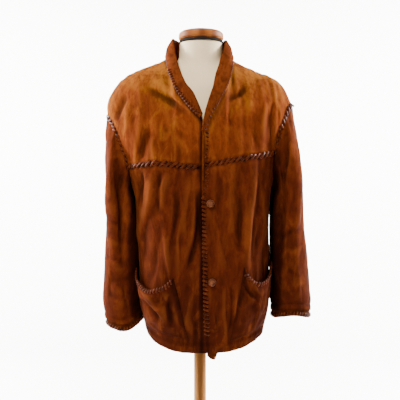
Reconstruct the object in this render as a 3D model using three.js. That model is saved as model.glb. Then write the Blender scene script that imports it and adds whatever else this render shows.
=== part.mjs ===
// A suede jacket with laced seams, on a limbless bust form and its wooden stand.
// Millimetres, +Z up. The front faces -Y, so the wearer's left is at +X.
// The origin is the middle of the stand's underside.

import * as THREE from "three";

// ---------------------------------------------------------------- driving dimensions

const WALL = 1.8; // thickness of the suede
const SEAM_GAP = 0.3; // between two panels that are sewn edge to edge
const LIFT = 0.5; // between a panel and what lies on it

// Plan sections of the jacket's body: how far it reaches from the middle at a height.
const BODY = [
  { z: 1270, right: 208, left: 208, front: 137, back: 123 },
  { z: 1216, right: 201, left: 205, front: 140, back: 127 },
  { z: 1150, right: 183, left: 195, front: 147, back: 131 },
  { z: 1090, right: 175, left: 191, front: 152, back: 135 },
  { z: 1000, right: 171, left: 190, front: 157, back: 139 },
  { z: 900, right: 166, left: 190, front: 159, back: 141 },
  { z: 850, right: 160, left: 187, front: 157, back: 140 },
  { z: 790, right: 151, left: 178, front: 151, back: 136 },
  { z: 720, right: 136, left: 161, front: 141, back: 128 },
];
const SQUARENESS = 0.1; // how far the sections are fuller than an ellipse
const CORNER_ANGLE = 64; // degrees from the front or the back to the yoke's corner

// Heights of the yoke seams, from the front edge or the middle of the back to the armhole.
const YOKE_SEAM = {
  right: [1215, 1219, 1226, 1222, 1217],
  left: [1222, 1230, 1241, 1250, 1255],
  back: [1262, 1261, 1257, 1251, 1246],
};
const UNDERARM = { right: 1152, left: 1162 };
const UNDERARM_GAP = { least: 0.5, more: 0.8 }; // from the body to the sleeve under the arm

// Lower edges: their heights at the middles and the sides, and the depth that is turned up.
const HEM = { front: 731, back: 742, side: 787, roundness: 3.2, turned: 21 };
const BODY_LENGTH = 490; // from the yoke seam to the hem

// How far past the middle each front reaches. The left front lies over the right one.
const FRONT_EDGE = [
  { z: 1330, left: 6, right: 9 },
  { z: 1216, left: 5, right: 12 },
  { z: 1140, left: 5, right: 38 },
  { z: 900, left: 9, right: 38 },
  { z: 800, left: 12, right: 24 },
  { z: 730, left: 15, right: 24 },
];
const UNDERLAP = { start: -18, full: -3, depth: 3.4 };

// Shoulder lines from the neck to the top of the armhole seam.
const SHOULDER = {
  right: [
    [-82, 3, 1530], [-112, 4, 1516], [-171, 5, 1494], [-216, 5, 1472], [-235, 4, 1449],
    [-249, 3, 1427], [-258, 2, 1404], [-260, 1, 1382], [-257, 0, 1362],
  ],
  left: [
    [78, 3, 1530], [101, 4, 1516], [148, 5, 1494], [207, 5, 1472], [232, 4, 1449],
    [244, 3, 1427], [252, 2, 1408], [256, 1, 1396],
  ],
};

// The collar, a row for each section from its right tip round the neck to its left tip:
// where it is sewn to the neckline, where it rolls over, and its free edge.
const COLLAR = [
  { sewn: [5, -138, 1350], roll: [8, -141, 1356], edge: [-1, -145, 1344] },
  { sewn: [-24, -131, 1394], roll: [-16, -135, 1408], edge: [-37, -137, 1384] },
  { sewn: [-50, -110, 1430], roll: [-40, -113, 1443], edge: [-65, -118, 1424] },
  { sewn: [-67, -85, 1470], roll: [-56, -81, 1486], edge: [-81, -93, 1464] },
  { sewn: [-77, -53, 1503], roll: [-66, -42, 1532], edge: [-91, -56, 1502] },
  { sewn: [-82, 3, 1530], roll: [-73, 2, 1580], edge: [-96, 3, 1532] },
  { sewn: [-64, 52, 1517], roll: [-57, 54, 1583], edge: [-82, 72, 1521] },
  { sewn: [-2, 73, 1521], roll: [-2, 76, 1587], edge: [-2, 102, 1514] },
  { sewn: [61, 52, 1516], roll: [54, 54, 1581], edge: [78, 72, 1519] },
  { sewn: [78, 3, 1530], roll: [70, 2, 1576], edge: [91, 3, 1532] },
  { sewn: [74, -53, 1502], roll: [60, -42, 1534], edge: [90, -57, 1503] },
  { sewn: [64, -86, 1467], roll: [45, -80, 1478], edge: [84, -93, 1468] },
  { sewn: [49, -113, 1427], roll: [34, -114, 1430], edge: [70, -118, 1424] },
  { sewn: [24, -136, 1376], roll: [14, -144, 1370], edge: [38, -145, 1364] },
  { sewn: [11, -141, 1340], roll: [8, -147, 1336], edge: [24, -149, 1334] },
  { sewn: [6, -142, 1312], roll: [5, -147, 1310], edge: [17, -149, 1308] },
];
const NECK_ROW = { right: 5, left: 9 }; // the collar's rows at the shoulder lines

// Sleeve sections below the armhole: reach from the middle, half depth and its middle.
const SLEEVE = {
  right: [
    { z: 1090, outer: 261, inner: 180, depth: 90, middle: 2 },
    { z: 1023, outer: 263, inner: 178, depth: 85, middle: 0 },
    { z: 956, outer: 266, inner: 177, depth: 80, middle: -4 },
    { z: 889, outer: 269, inner: 174, depth: 74, middle: -8 },
    { z: 844, outer: 268, inner: 168, depth: 68, middle: -10 },
    { z: 790, outer: 259, inner: 160, depth: 62, middle: -12 },
  ],
  left: [
    { z: 1090, outer: 289, inner: 197, depth: 90, middle: 2 },
    { z: 1023, outer: 294, inner: 198, depth: 85, middle: 0 },
    { z: 956, outer: 300, inner: 199, depth: 80, middle: -4 },
    { z: 889, outer: 305, inner: 200, depth: 74, middle: -8 },
    { z: 850, outer: 308, inner: 200, depth: 69, middle: -10 },
    { z: 805, outer: 301, inner: 203, depth: 62, middle: -12 },
  ],
};
// Heights of a sleeve's lower edge at its outer side, front, inner side and back.
const SLEEVE_END = {
  right: { outer: 807, front: 795, inner: 821, back: 815 },
  left: { outer: 827, front: 837, inner: 827, back: 820 },
};
const COLLAR_TURN = 3; // radius of the roll
const COLLAR_FORM = { mostTurn: 0.35, stand: 0.55, bulge: 0.06 }; // shares of its height
const CUFF = { above: 14, below: 20, fold: 2, lace: 13.5 }; // from its sleeve's edge

// The largest folds: a line on the front or the back, how far it stands out (or, less
// than nothing, sinks in) and its half width. They fade towards the sides.
const FOLDS_FADE = { torso: 45, sleeve: 50 };
const BACK_OF_SLEEVE = 0.7; // how much of a sleeve's folds shows on its back
const FRONT_FOLDS = [
  { x: [-128, -163], z: [1208, 1010], out: 8, wide: 16 },
  { x: [-83, -104], z: [1206, 1100], out: 6, wide: 15 },
  { x: [-68, -72], z: [1150, 985], out: -7, wide: 13 },
  { x: [-50, -58], z: [1085, 930], out: 6, wide: 13 },
  { x: [-6, -30], z: [1150, 940], out: -9, wide: 15 },
  { x: [143, 114], z: [1244, 950], out: 10, wide: 17 },
  { x: [167, 159], z: [1170, 1000], out: 6, wide: 14 },
  { x: [104, 112], z: [1150, 985], out: -9, wide: 14 },
  { x: [62, 66], z: [905, 765], out: 4, wide: 10 },
  { x: [-30, -36], z: [900, 770], out: 4, wide: 16 },
  { x: [-150, 0], z: [1438, 1340], out: -6, wide: 15 },
  { x: [128, 76], z: [1434, 1388], out: -6, wide: 14 },
  { x: [-150, -156], z: [1330, 1236], out: -5, wide: 14 },
  { x: [202, 190], z: [1395, 1262], out: -8, wide: 14 },
  { x: [-205, -229], z: [1420, 1338], out: -6, wide: 13 },
];
const BACK_FOLDS = [
  { x: [-120, -138], z: [1240, 960], out: 9, wide: 19 },
  { x: [-78, -86], z: [1215, 900], out: -7, wide: 17 },
  { x: [-34, -30], z: [1250, 1010], out: 5, wide: 18 },
  { x: [28, 22], z: [1180, 860], out: -6, wide: 18 },
  { x: [80, 74], z: [1240, 930], out: 7, wide: 18 },
  { x: [132, 148], z: [1235, 985], out: -8, wide: 17 },
  { x: [-100, -92], z: [900, 765], out: 4, wide: 16 },
  { x: [110, 118], z: [930, 775], out: 5, wide: 18 },
];
const SLEEVE_FOLDS = {
  right: [
    { x: [-226, -206], z: [1240, 955], out: -9, wide: 13 },
    { x: [-203, -196], z: [1215, 1050], out: 6, wide: 11 },
    { x: [-250, -246], z: [1250, 1040], out: 6, wide: 12 },
  ],
  left: [
    { x: [234, 216], z: [1345, 1140], out: -10, wide: 14 },
    { x: [262, 262], z: [1330, 1060], out: 7, wide: 15 },
    { x: [238, 246], z: [1130, 930], out: -6, wide: 15 },
  ],
};

// How strongly the yokes' columns lean out and rise where they start at the yoke seam,
// and how they arrive at the neck and at the shoulder's end.
const YOKE_START = { aside: 0.3, ahead: 0.05, aheadAtCorner: 0.15 };
const NECK_PULL = { front: [0, 0.1, 1], back: [0, -0.9, 0.4], fullness: 0.8 };
const SHOULDER_END = { aside: 0.35, up: 0.3 };
const CAP_PULL = { outer: 0.2, side: 0.75, ahead: 0.75, aheadUnderarm: 0.4 }; // of a sleeve

// Grid sizes of the walls
const YOKE_ROWS = 9;
const NECK_COLUMNS = 5; // of a front yoke, along the neckline
const SHOULDER_COLUMNS = 9;
const BACK_NECK_COLUMNS = 6;
const SCOOP_COLUMNS = 3; // from a yoke's corner to the underarm
const BODY_ROWS = 12;
const CAP_ROWS = 6; // of a sleeve, down to its first section
const SLEEVE_ROWS = 9; // of a sleeve, below it

// Pockets: shares of a lower front's width (0 at the front edge) where the mouth and the
// foot begin and end, and the heights of their ends. The mouth sags most at a share of its
// width and gapes, and the pouch stands out.
const POCKETS = {
  right: { mouth: [0.377, 0.93], foot: [0.22, 0.87], top: [930, 958], floor: [768, 803],
    sag: 48, sagAt: 0.55, gape: 15, pouch: 8 },
  left: { mouth: [0.415, 0.91], foot: [0.28, 0.86], top: [956, 965], floor: [762, 808],
    sag: 42, sagAt: 0.7, gape: 12, pouch: 6 },
};
const POCKET_LIFT = 0.8; // between a lower front and its pocket
const POUCH_FULLNESS = { down: 0.7, across: 0.8 }; // less is fuller
const POCKET_COLUMNS = 8;
const POCKET_ROWS = 6;
const POCKET_LACE_ROW = 0.3; // where its lace runs

const STRIP = { inset: 0.2, wide: 6, top: 1300, foot: 1180, step: 20 }; // the left facing, turned out
const FACING = { columns: [0.35, 2.8], above: [1.6, 0.8, 0], behind: 5.55, hangs: [9, 17, 18, 2] };

const BUTTONS = [{ x: 27, z: 1120 }, { x: 31, z: 917 }];
const BUTTON = { radius: 9.8, thick: 11, sides: 14, rings: 8 };

const LACE_LIFT = 0.85; // between a lace and what it lies on
const LACE = { wide: 12, high: 3.6, pitch: 19 }; // across the yoke and armhole seams
const WHIP = { wide: 11, high: 3.2, pitch: 16 }; // over an edge
const LACE_SWING = 0.45; // how far a lace's crest swings towards its sides

const COLLAR_LACE = [1, -2]; // the first and last of the collar's sections that it covers
const EDGE_LACE = { beside: 12.8, over: 5.8, turnsAt: [1172, 1140], top: 1304, foot: 782, step: 16 };

const FORM_AXIS = { x: 3, y: 3 }; // the form stands a little to the wearer's left
const FORM_SHOULDER_DROP = 1.6; // how late the form's shoulders fall to the chest and back
const FORM_NECK = [
  { z: 1568, wide: 60, front: 58, back: 56, zFront: 1568, zBack: 1568 },
  { z: 1542, wide: 61, front: 59, back: 57, zFront: 1538, zBack: 1545 },
  { z: 1521, wide: 65, front: 62, back: 60, zFront: 1502, zBack: 1522 },
];
const FORM_SHOULDER = [
  { front: 70, back: 64, zFront: 1474, zBack: 1492 },
  { front: 82, back: 70, zFront: 1446, zBack: 1466 },
  { front: 92, back: 76, zFront: 1420, zBack: 1440 },
];
const FORM_TORSO = [
  { z: 1462, wide: 183, front: 100, back: 82, zFront: 1398, zBack: 1416 },
  { z: 1434, wide: 187, front: 107, back: 88, zFront: 1380, zBack: 1394 },
  { z: 1400, wide: 185, front: 114, back: 93, zFront: 1356, zBack: 1366 },
  { z: 1350, wide: 178, front: 126, back: 99, zFront: 1328, zBack: 1330 },
  { z: 1290, wide: 170, front: 127, back: 99, zFront: 1280, zBack: 1280 },
  { z: 1200, wide: 158, front: 120, back: 95, zFront: 1200, zBack: 1200 },
  { z: 1100, wide: 146, front: 111, back: 91, zFront: 1100, zBack: 1100 },
  { z: 1000, wide: 148, front: 112, back: 95, zFront: 1000, zBack: 1000 },
  { z: 920, wide: 146, front: 118, back: 103, zFront: 920, zBack: 920 },
  { z: 872, wide: 142, front: 116, back: 102, zFront: 872, zBack: 872 },
  { z: 854, wide: 128, front: 102, back: 90, zFront: 854, zBack: 854 },
];
const FORM_COLUMNS = 32;
const NECK_BAND = { radius: 57, z: [1568.3, 1574.7] };
const NECK_CAP = { radius: 63, z: [1575, 1600], edge: 1, round: 6, flat: 49 };
const TURNED_SIDES = 28;
const POLE = { radius: 17 };
const BASE = { radius: 170, high: 26, chamfer: 7 };

// ------------------------------------------------------------------------ materials

const finish = (color, roughness) =>
  new THREE.MeshStandardMaterial({ color, roughness, metalness: 0 });
const SUEDE = finish("#8f4a17", 0.95);
const SUEDE_DARK = finish("#6f3411", 0.95);
const LACING = finish("#54281b", 0.5);
const BUTTON_LEATHER = finish("#4a2213", 0.45);
const FORM_CLOTH = finish("#e8e2d6", 0.9);
const BAND_CLOTH = finish("#17130f", 0.85);
const WOOD = finish("#9a5f24", 0.55);
const POLE_WOOD = finish("#b08648", 0.55);

// -------------------------------------------------------------------------- helpers

const vec = (x, y, z) => new THREE.Vector3(x, y, z);
const mix = (a, b, share) => a + (b - a) * share;
const between = (a, b, share) => a.clone().lerp(b, share);
const radians = (degrees) => (degrees * Math.PI) / 180;
const steps = (count) => Array.from({ length: count + 1 }, (_, i) => i / count);

function eased(value) {
  const share = Math.min(1, Math.max(0, value));
  return share * share * (3 - 2 * share);
}

/** A smooth curve through equally spaced values, at a share of its length. */
function through(values, share) {
  const last = values.length - 1;
  const place = Math.min(last, Math.max(0, share * last));
  const i = Math.min(last - 1, Math.floor(place));
  const f = place - i;
  const before = values[Math.max(0, i - 1)];
  const after = values[Math.min(last, i + 2)];
  const [a, b] = [values[i], values[i + 1]];
  const cubic = [2 * a, b - before, 2 * before - 5 * a + 4 * b - after, 3 * (a - b) + after - before];
  return 0.5 * (cubic[0] + f * (cubic[1] + f * (cubic[2] + f * cubic[3])));
}

/** One column of a table of sections, smoothly between its rows, from the top down. */
function sectionAt(rows, column, z) {
  let i = 0;
  while (i < rows.length - 2 && rows[i + 1].z > z) i++;
  const share = Math.min(1, Math.max(0, (rows[i].z - z) / (rows[i].z - rows[i + 1].z)));
  return through(rows.map((row) => row[column]), (i + share) / (rows.length - 1));
}

function hermite(start, startPull, end, endPull, f) {
  const [f2, f3] = [f * f, f * f * f];
  return vec(0, 0, 0)
    .addScaledVector(start, 2 * f3 - 3 * f2 + 1)
    .addScaledVector(startPull, f3 - 2 * f2 + f)
    .addScaledVector(end, 3 * f2 - 2 * f3)
    .addScaledVector(endPull, f3 - f2);
}

/** How far the folds of a table move a point of the cloth out. */
function foldedOut(folds, x, z) {
  let out = 0;
  for (const fold of folds) {
    const down = (fold.z[0] - z) / (fold.z[0] - fold.z[1]);
    if (down <= 0 || down >= 1) continue;
    const aside = (x - mix(fold.x[0], fold.x[1], down)) / fold.wide;
    out += fold.out * Math.sqrt(Math.sin(Math.PI * down)) * Math.exp(-aside * aside);
  }
  return out;
}

// ------------------------------------------------------- grids of points, and walls

const pointKey = (p) => [p.x, p.y, p.z].map((n) => Math.round(n * 50)).join();

/** Normals of a grid of points; grids that share points along a seam share them there. */
function setNormals(grids) {
  const sums = new Map();
  for (const grid of grids) {
    const { points, closed } = grid;
    const columns = points[0].length;
    grid.sums = points.map((row) => row.map(() => vec(0, 0, 0)));
    for (let r = 0; r < points.length - 1; r++) {
      for (let c = 0; c < columns - (closed ? 0 : 1); c++) {
        const d = (c + 1) % columns;
        const across = points[r + 1][d].clone().sub(points[r][c]);
        const back = points[r + 1][c].clone().sub(points[r][d]);
        const face = across.cross(back).multiplyScalar(grid.turned ? -1 : 1);
        for (const [i, j] of [[r, c], [r, d], [r + 1, c], [r + 1, d]]) grid.sums[i][j].add(face);
      }
    }
    points.forEach((row, r) => row.forEach((p, c) => {
      const key = pointKey(p);
      if (!sums.has(key)) sums.set(key, vec(0, 0, 0));
      sums.get(key).add(grid.sums[r][c]);
    }));
  }
  for (const grid of grids) {
    grid.normals = grid.points.map((row) => row.map((p) => sums.get(pointKey(p)).clone().normalize()));
    delete grid.sums;
  }
}

/** A grid's points, moved in from its surface. */
function innerPoints(grid, wall = WALL) {
  return grid.points.map((row, r) => row.map((p, c) =>
    p.clone().addScaledVector(grid.normals[r][c], -wall)));
}

/** Draws the sewn edges of a layer of points back by half the seam's gap. */
function trimmed(layer, sewn, gap = SEAM_GAP / 2) {
  const rows = layer.length - 1;
  const columns = layer[0].length - 1;
  const copy = layer.map((row) => row.map((p) => p.clone()));
  const draw = (r, c, s, d) => {
    const pull = layer[s][d].clone().sub(layer[r][c]);
    copy[r][c].addScaledVector(pull, gap / pull.length());
  };
  for (let c = 0; c <= columns; c++) {
    if (sewn.includes("top")) draw(0, c, 1, c);
    if (sewn.includes("bottom")) draw(rows, c, rows - 1, c);
  }
  for (let r = 0; r <= rows; r++) {
    if (sewn.includes("start")) draw(r, 0, r, 1);
    if (sewn.includes("end")) draw(r, columns, r, columns - 1);
  }
  return copy;
}

/** A closed mesh from an outer and an inner layer of points. */
function wallGeometry(outer, inner, { closed = false, turned = false } = {}) {
  const rows = outer.length;
  const columns = outer[0].length;
  const index = [];
  const at = (layer, r, c) => layer * rows * columns + r * columns + (c % columns);
  const points = [outer, inner].flat(2);
  const quad = (...corners) => {
    const [p, q, r, s] = corners.map((corner) => points[corner]);
    if (p.distanceTo(r) > q.distanceTo(s)) corners.push(corners.shift());
    const [a, b, c, d] = corners;
    index.push(...(turned ? [a, c, b, a, d, c] : [a, b, c, a, c, d]));
  };
  const lastColumn = closed ? columns : columns - 1;
  for (let r = 0; r < rows - 1; r++) {
    for (let c = 0; c < lastColumn; c++) {
      quad(at(0, r, c), at(0, r, c + 1), at(0, r + 1, c + 1), at(0, r + 1, c));
      quad(at(1, r, c), at(1, r + 1, c), at(1, r + 1, c + 1), at(1, r, c + 1));
    }
  }
  for (let c = 0; c < lastColumn; c++) {
    quad(at(0, 0, c), at(1, 0, c), at(1, 0, c + 1), at(0, 0, c + 1));
    quad(at(0, rows - 1, c), at(0, rows - 1, c + 1), at(1, rows - 1, c + 1), at(1, rows - 1, c));
  }
  if (!closed) {
    for (let r = 0; r < rows - 1; r++) {
      quad(at(0, r, 0), at(0, r + 1, 0), at(1, r + 1, 0), at(1, r, 0));
      const last = columns - 1;
      quad(at(0, r, last), at(1, r, last), at(1, r + 1, last), at(0, r + 1, last));
    }
  }
  const geometry = new THREE.BufferGeometry();
  const flat = points.flatMap((p) => [p.x, p.y, p.z]);
  geometry.setAttribute("position", new THREE.Float32BufferAttribute(flat, 3));
  geometry.setIndex(index);
  return geometry;
}

const part = new THREE.Group();

function add(name, geometry, material) {
  geometry.computeVertexNormals();
  const mesh = new THREE.Mesh(geometry, material);
  mesh.name = name;
  part.add(mesh);
  return mesh;
}

/** Adds a panel of suede whose outer face is the grid. */
function addPanel(name, grid, sewn = [], material = SUEDE) {
  const outer = trimmed(grid.points, sewn);
  const inner = trimmed(innerPoints(grid), sewn);
  add(name, wallGeometry(outer, inner, grid), material);
}

/** A point and its normal on a grid, at fractional column and row. */
function onGrid(grid, column, row) {
  const lastRow = grid.points.length - 1;
  const lastColumn = grid.points[0].length - 1;
  const r = Math.min(lastRow - 1, Math.max(0, Math.floor(row)));
  const c = Math.min(lastColumn - 1, Math.max(0, Math.floor(column)));
  const pick = (layer) => between(
    between(layer[r][c], layer[r][c + 1], column - c),
    between(layer[r + 1][c], layer[r + 1][c + 1], column - c),
    row - r,
  );
  return { point: pick(grid.points), normal: pick(grid.normals).normalize() };
}

// --------------------------------------------------------------- the jacket's body

/** A point of the body's plan section at a height; 0 degrees is the front, 90 the left. */
function bodyPoint(angle, z) {
  const turn = radians(angle);
  const [aside, ahead] = [Math.sin(turn), Math.cos(turn)];
  const fuller = 1 + SQUARENESS * Math.sin(2 * turn) ** 2;
  const wide = sectionAt(BODY, aside >= 0 ? "left" : "right", z);
  const deep = sectionAt(BODY, ahead >= 0 ? "front" : "back", z);
  return vec(aside * wide * fuller, -ahead * deep * fuller, z);
}

function hemHeight(angle) {
  const turn = radians(angle);
  const middle = Math.cos(turn) >= 0 ? HEM.front : HEM.back;
  return mix(middle, HEM.side, Math.abs(Math.sin(turn)) ** HEM.roundness);
}

/** Shares of the body's length from the yoke down, with the last row at the turned hem. */
const hemSeam = 1 - HEM.turned / BODY_LENGTH;
const bodyShares = [...steps(BODY_ROWS - 1).map((s) => s * hemSeam), 1];

/** Top height at each column from the yoke's inner end to the side, down to the underarm. */
function topHeights(seam, columns, underarm) {
  const yoke = steps(columns).map((share) => through(seam, share));
  const corner = yoke[columns];
  const scoop = steps(SCOOP_COLUMNS).slice(1).map((share) =>
    mix(corner, underarm, Math.sin((share * Math.PI) / 2)));
  return [...yoke, ...scoop];
}

const frontColumns = NECK_COLUMNS + SHOULDER_COLUMNS;
const halfBackColumns = SHOULDER_COLUMNS + BACK_NECK_COLUMNS / 2;

/** The lower front of one side: rows go down, columns go from the front edge to the side. */
function lowerFront(side) {
  const sign = side === "left" ? 1 : -1;
  const tops = topHeights(YOKE_SEAM[side], frontColumns, UNDERARM[side]);
  const points = bodyShares.map((share) => tops.map((top, column) => {
    const column01 = Math.min(1, column / frontColumns);
    const past = Math.max(0, column - frontColumns) / SCOOP_COLUMNS;
    const guess = mix(top, HEM.front, share);
    const edge = sectionAt(FRONT_EDGE, side, guess);
    const edgeAngle = Math.asin(edge / sectionAt(BODY, "left", guess)) * (180 / Math.PI) * sign;
    const angle = sign * mix(mix(edgeAngle, CORNER_ANGLE, column01), 90, past);
    const z = mix(top, hemHeight(angle), share);
    return underlapped(bodyPoint(angle, z), side);
  }));
  return { points, turned: side === "left" };
}

/** The right front lies behind the left one where they overlap. */
function underlapped(point, side) {
  if (side === "left") return point;
  const share = eased((point.x - UNDERLAP.start) / (UNDERLAP.full - UNDERLAP.start));
  return point.add(vec(0, UNDERLAP.depth * share, 0));
}

/** The lower back: columns go from the left side round to the right side. */
function lowerBack() {
  const half = (side) => {
    const sign = side === "left" ? 1 : -1;
    const tops = topHeights(YOKE_SEAM.back, halfBackColumns, UNDERARM[side]);
    return tops.map((top, column) => {
      const column01 = Math.min(1, column / halfBackColumns);
      const past = Math.max(0, column - halfBackColumns) / SCOOP_COLUMNS;
      const angle = sign * (180 - mix(mix(0, CORNER_ANGLE, column01), 90, past));
      return bodyShares.map((share) => bodyPoint(angle, mix(top, hemHeight(angle), share)));
    });
  };
  const columns = [...half("left").reverse(), ...half("right").slice(1)];
  return { points: bodyShares.map((_, r) => columns.map((column) => column[r])), turned: true };
}

const lower = { right: lowerFront("right"), left: lowerFront("left"), back: lowerBack() };

// --------------------------------------------------------------------------- yokes

const curve = (points) => new THREE.CatmullRomCurve3(points.map((p) => vec(...p)), false, "centripetal");
const collarCurve = Object.fromEntries(
  ["sewn", "roll", "edge"].map((line) => [line, curve(COLLAR.map((row) => row[line]))]),
);
const onCollar = (line, row) => collarCurve[line].getPoint(row / (COLLAR.length - 1));

const shoulderPoints = Object.fromEntries(
  ["right", "left"].map((side) => [side, curve(SHOULDER[side]).getSpacedPoints(SHOULDER_COLUMNS)]),
);

/** Top edge of a front yoke: from the neckline's front end up to the neck, then the shoulder. */
function frontYokeTop(side) {
  const tip = side === "right" ? 0 : COLLAR.length - 1;
  const neckline = steps(NECK_COLUMNS).map((share) => onCollar("sewn", mix(tip, NECK_ROW[side], share)));
  return [...neckline.slice(0, -1), ...shoulderPoints[side]];
}

/** Which way a yoke's columns run where they end at the shoulder line. */
function shoulderPull(sign, share, ahead) {
  return vec(sign * SHOULDER_END.aside * share ** 2, ahead, SHOULDER_END.up * share ** 2);
}

/** Which way a yoke's columns run where they start at the yoke seam. */
function yokeStart(sign, edge, ahead) {
  const lean = YOKE_START.ahead + YOKE_START.aheadAtCorner * edge;
  return vec(sign * YOKE_START.aside * edge, ahead * lean, 1);
}

/** A yoke's column from the yoke seam up; the pulls are shares of its length. */
function yokeColumn(start, startPull, end, endPull) {
  const long = start.distanceTo(end);
  const [rise, arrive] = [startPull, endPull].map((pull) => pull.clone().multiplyScalar(long));
  return steps(YOKE_ROWS).map((share) => hermite(start, rise, end, arrive, share));
}

const inRows = (columns) => columns[0].map((_, r) => columns.map((column) => column[r]));

function frontYoke(side) {
  const sign = side === "left" ? 1 : -1;
  const foot = lower[side].points[0].slice(0, frontColumns + 1);
  const top = frontYokeTop(side);
  const columns = foot.map((start, column) => {
    const end = top[column];
    const neck = Math.min(1, column / NECK_COLUMNS);
    const shoulder = Math.max(0, column - NECK_COLUMNS) / SHOULDER_COLUMNS;
    const edge = (column / frontColumns) ** 3;
    const startPull = yokeStart(sign, edge, 1);
    const endPull = between(vec(...NECK_PULL.front), shoulderPull(sign, shoulder, 1), neck)
      .multiplyScalar(mix(NECK_PULL.fullness, 1, shoulder));
    return yokeColumn(start, startPull, end, endPull);
  });
  return { points: inRows(columns), turned: side === "right" };
}

function backYoke() {
  const from = SCOOP_COLUMNS;
  const foot = lower.back.points[0].slice(from, from + 2 * halfBackColumns + 1);
  const neckline = steps(BACK_NECK_COLUMNS).map((share) =>
    onCollar("sewn", mix(NECK_ROW.left, NECK_ROW.right, share)));
  const leftShoulder = shoulderPoints.left.toReversed().slice(0, -1);
  const top = [...leftShoulder, ...neckline, ...shoulderPoints.right.slice(1)];
  const columns = foot.map((start, column) => {
    const end = top[column];
    const fromMiddle = Math.abs(column - halfBackColumns);
    const sign = column < halfBackColumns ? 1 : -1;
    const shoulder = Math.max(0, fromMiddle - BACK_NECK_COLUMNS / 2) / SHOULDER_COLUMNS;
    const edge = (fromMiddle / halfBackColumns) ** 3;
    const neck = Math.min(1, fromMiddle / (BACK_NECK_COLUMNS / 2));
    const startPull = yokeStart(sign, edge, -1);
    const endPull = between(vec(...NECK_PULL.back), shoulderPull(sign, shoulder, -1), neck);
    return yokeColumn(start, startPull, end, endPull);
  });
  return { points: inRows(columns), turned: false };
}

const yoke = { right: frontYoke("right"), left: frontYoke("left"), back: backYoke() };

// The folds move all the torso's panels together, so their seams stay closed.
const torso = [lower.right, lower.left, lower.back, yoke.right, yoke.left, yoke.back];
setNormals(torso);
for (const grid of torso) {
  grid.points.forEach((row, r) => row.forEach((p, c) => {
    const depth = eased(Math.abs(p.y) / FOLDS_FADE.torso);
    const out = foldedOut(p.y < 0 ? FRONT_FOLDS : BACK_FOLDS, p.x, p.z);
    p.addScaledVector(grid.normals[r][c], out * depth);
  }));
}

// ------------------------------------------------------------------------- sleeves

/** The armhole from the shoulder's end down the front, under the arm and up the back. */
function armhole(side) {
  const front = yoke[side].points.map((row) => row[frontColumns]).toReversed();
  const backColumn = side === "left" ? 0 : 2 * halfBackColumns;
  const back = yoke.back.points.map((row) => row[backColumn]);
  const frontScoop = lower[side].points[0].slice(frontColumns + 1);
  const backTop = lower.back.points[0];
  const backScoop = side === "left"
    ? backTop.slice(1, SCOOP_COLUMNS)
    : backTop.slice(-SCOOP_COLUMNS, -1).toReversed();
  const sign = side === "left" ? 1 : -1;
  const scoop = [...frontScoop, ...backScoop];
  const clear = scoop.map((p, i) => {
    const share = Math.sin((Math.PI * (i + 1)) / (scoop.length + 1));
    return p.clone().add(vec(sign * (UNDERARM_GAP.least + UNDERARM_GAP.more * share), 0, 0));
  });
  return [...front.map((p) => p.clone()), ...clear, ...back.slice(0, -1).map((p) => p.clone())];
}

function sleeve(side) {
  const sign = side === "left" ? 1 : -1;
  const loop = armhole(side);
  const rows = SLEEVE[side];
  const end = SLEEVE_END[side];
  const ring = (column, z) => {
    const turn = (2 * Math.PI * column) / loop.length;
    const outer = sectionAt(rows, "outer", z);
    const inner = sectionAt(rows, "inner", z);
    const half = (outer - inner) / 2;
    return vec(
      sign * ((outer + inner) / 2 + half * Math.cos(turn)),
      sectionAt(rows, "middle", z) - sectionAt(rows, "depth", z) * Math.sin(turn),
      z,
    );
  };
  const endHeight = (column) => {
    const turn = (2 * Math.PI * column) / loop.length;
    const [aside, ahead] = [Math.cos(turn), Math.sin(turn)];
    const across = mix(end.inner, end.outer, (aside + 1) / 2);
    const along = mix(end.back, end.front, (ahead + 1) / 2);
    return mix(across, along, ahead * ahead);
  };
  const firstZ = rows[0].z;
  const columns = loop.map((start, column) => {
    const turn = (2 * Math.PI * column) / loop.length;
    const first = ring(column, firstZ);
    const long = start.distanceTo(first);
    const open = (1 + Math.cos(turn)) / 2;
    const aside = CAP_PULL.outer * open + CAP_PULL.side * Math.abs(Math.sin(turn)) * (1 - open);
    const ahead = Math.sin(turn) * mix(CAP_PULL.aheadUnderarm, CAP_PULL.ahead, open);
    const startPull = vec(sign * aside, -ahead, -1).multiplyScalar(long);
    const endPull = vec(0, 0, -long);
    const cap = steps(CAP_ROWS).map((share) => hermite(start, startPull, first, endPull, share));
    const arm = steps(SLEEVE_ROWS).slice(1).map((share) =>
      ring(column, mix(firstZ, endHeight(column), share)));
    return [...cap, ...arm];
  });
  return { points: inRows(columns), closed: true, turned: side === "right" };
}

const sleeves = { right: sleeve("right"), left: sleeve("left") };
for (const side of ["right", "left"]) {
  const grid = sleeves[side];
  setNormals([grid]);
  grid.points.forEach((row, r) => row.forEach((p, c) => {
    if (r === 0) return;
    const share = eased(Math.abs(p.y) / FOLDS_FADE.sleeve);
    const folds = SLEEVE_FOLDS[side].map((fold) => (
      p.y > 0 ? { ...fold, out: fold.out * BACK_OF_SLEEVE } : fold));
    p.addScaledVector(grid.normals[r][c], share * foldedOut(folds, p.x, p.z));
  }));
}
setNormals([...torso, sleeves.right, sleeves.left]);

addPanel("front_right", lower.right, ["top", "end"]);
addPanel("front_left", lower.left, ["top", "end"]);
addPanel("back", lower.back, ["top", "start", "end"]);
addPanel("front_yoke_right", yoke.right, ["top", "bottom", "end"]);
addPanel("front_yoke_left", yoke.left, ["top", "bottom", "end"]);
addPanel("back_yoke", yoke.back, ["top", "bottom", "start", "end"]);
addPanel("sleeve_right", sleeves.right, ["top"]);
addPanel("sleeve_left", sleeves.left, ["top"]);

// -------------------------------------------------------------------------- collar

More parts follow.
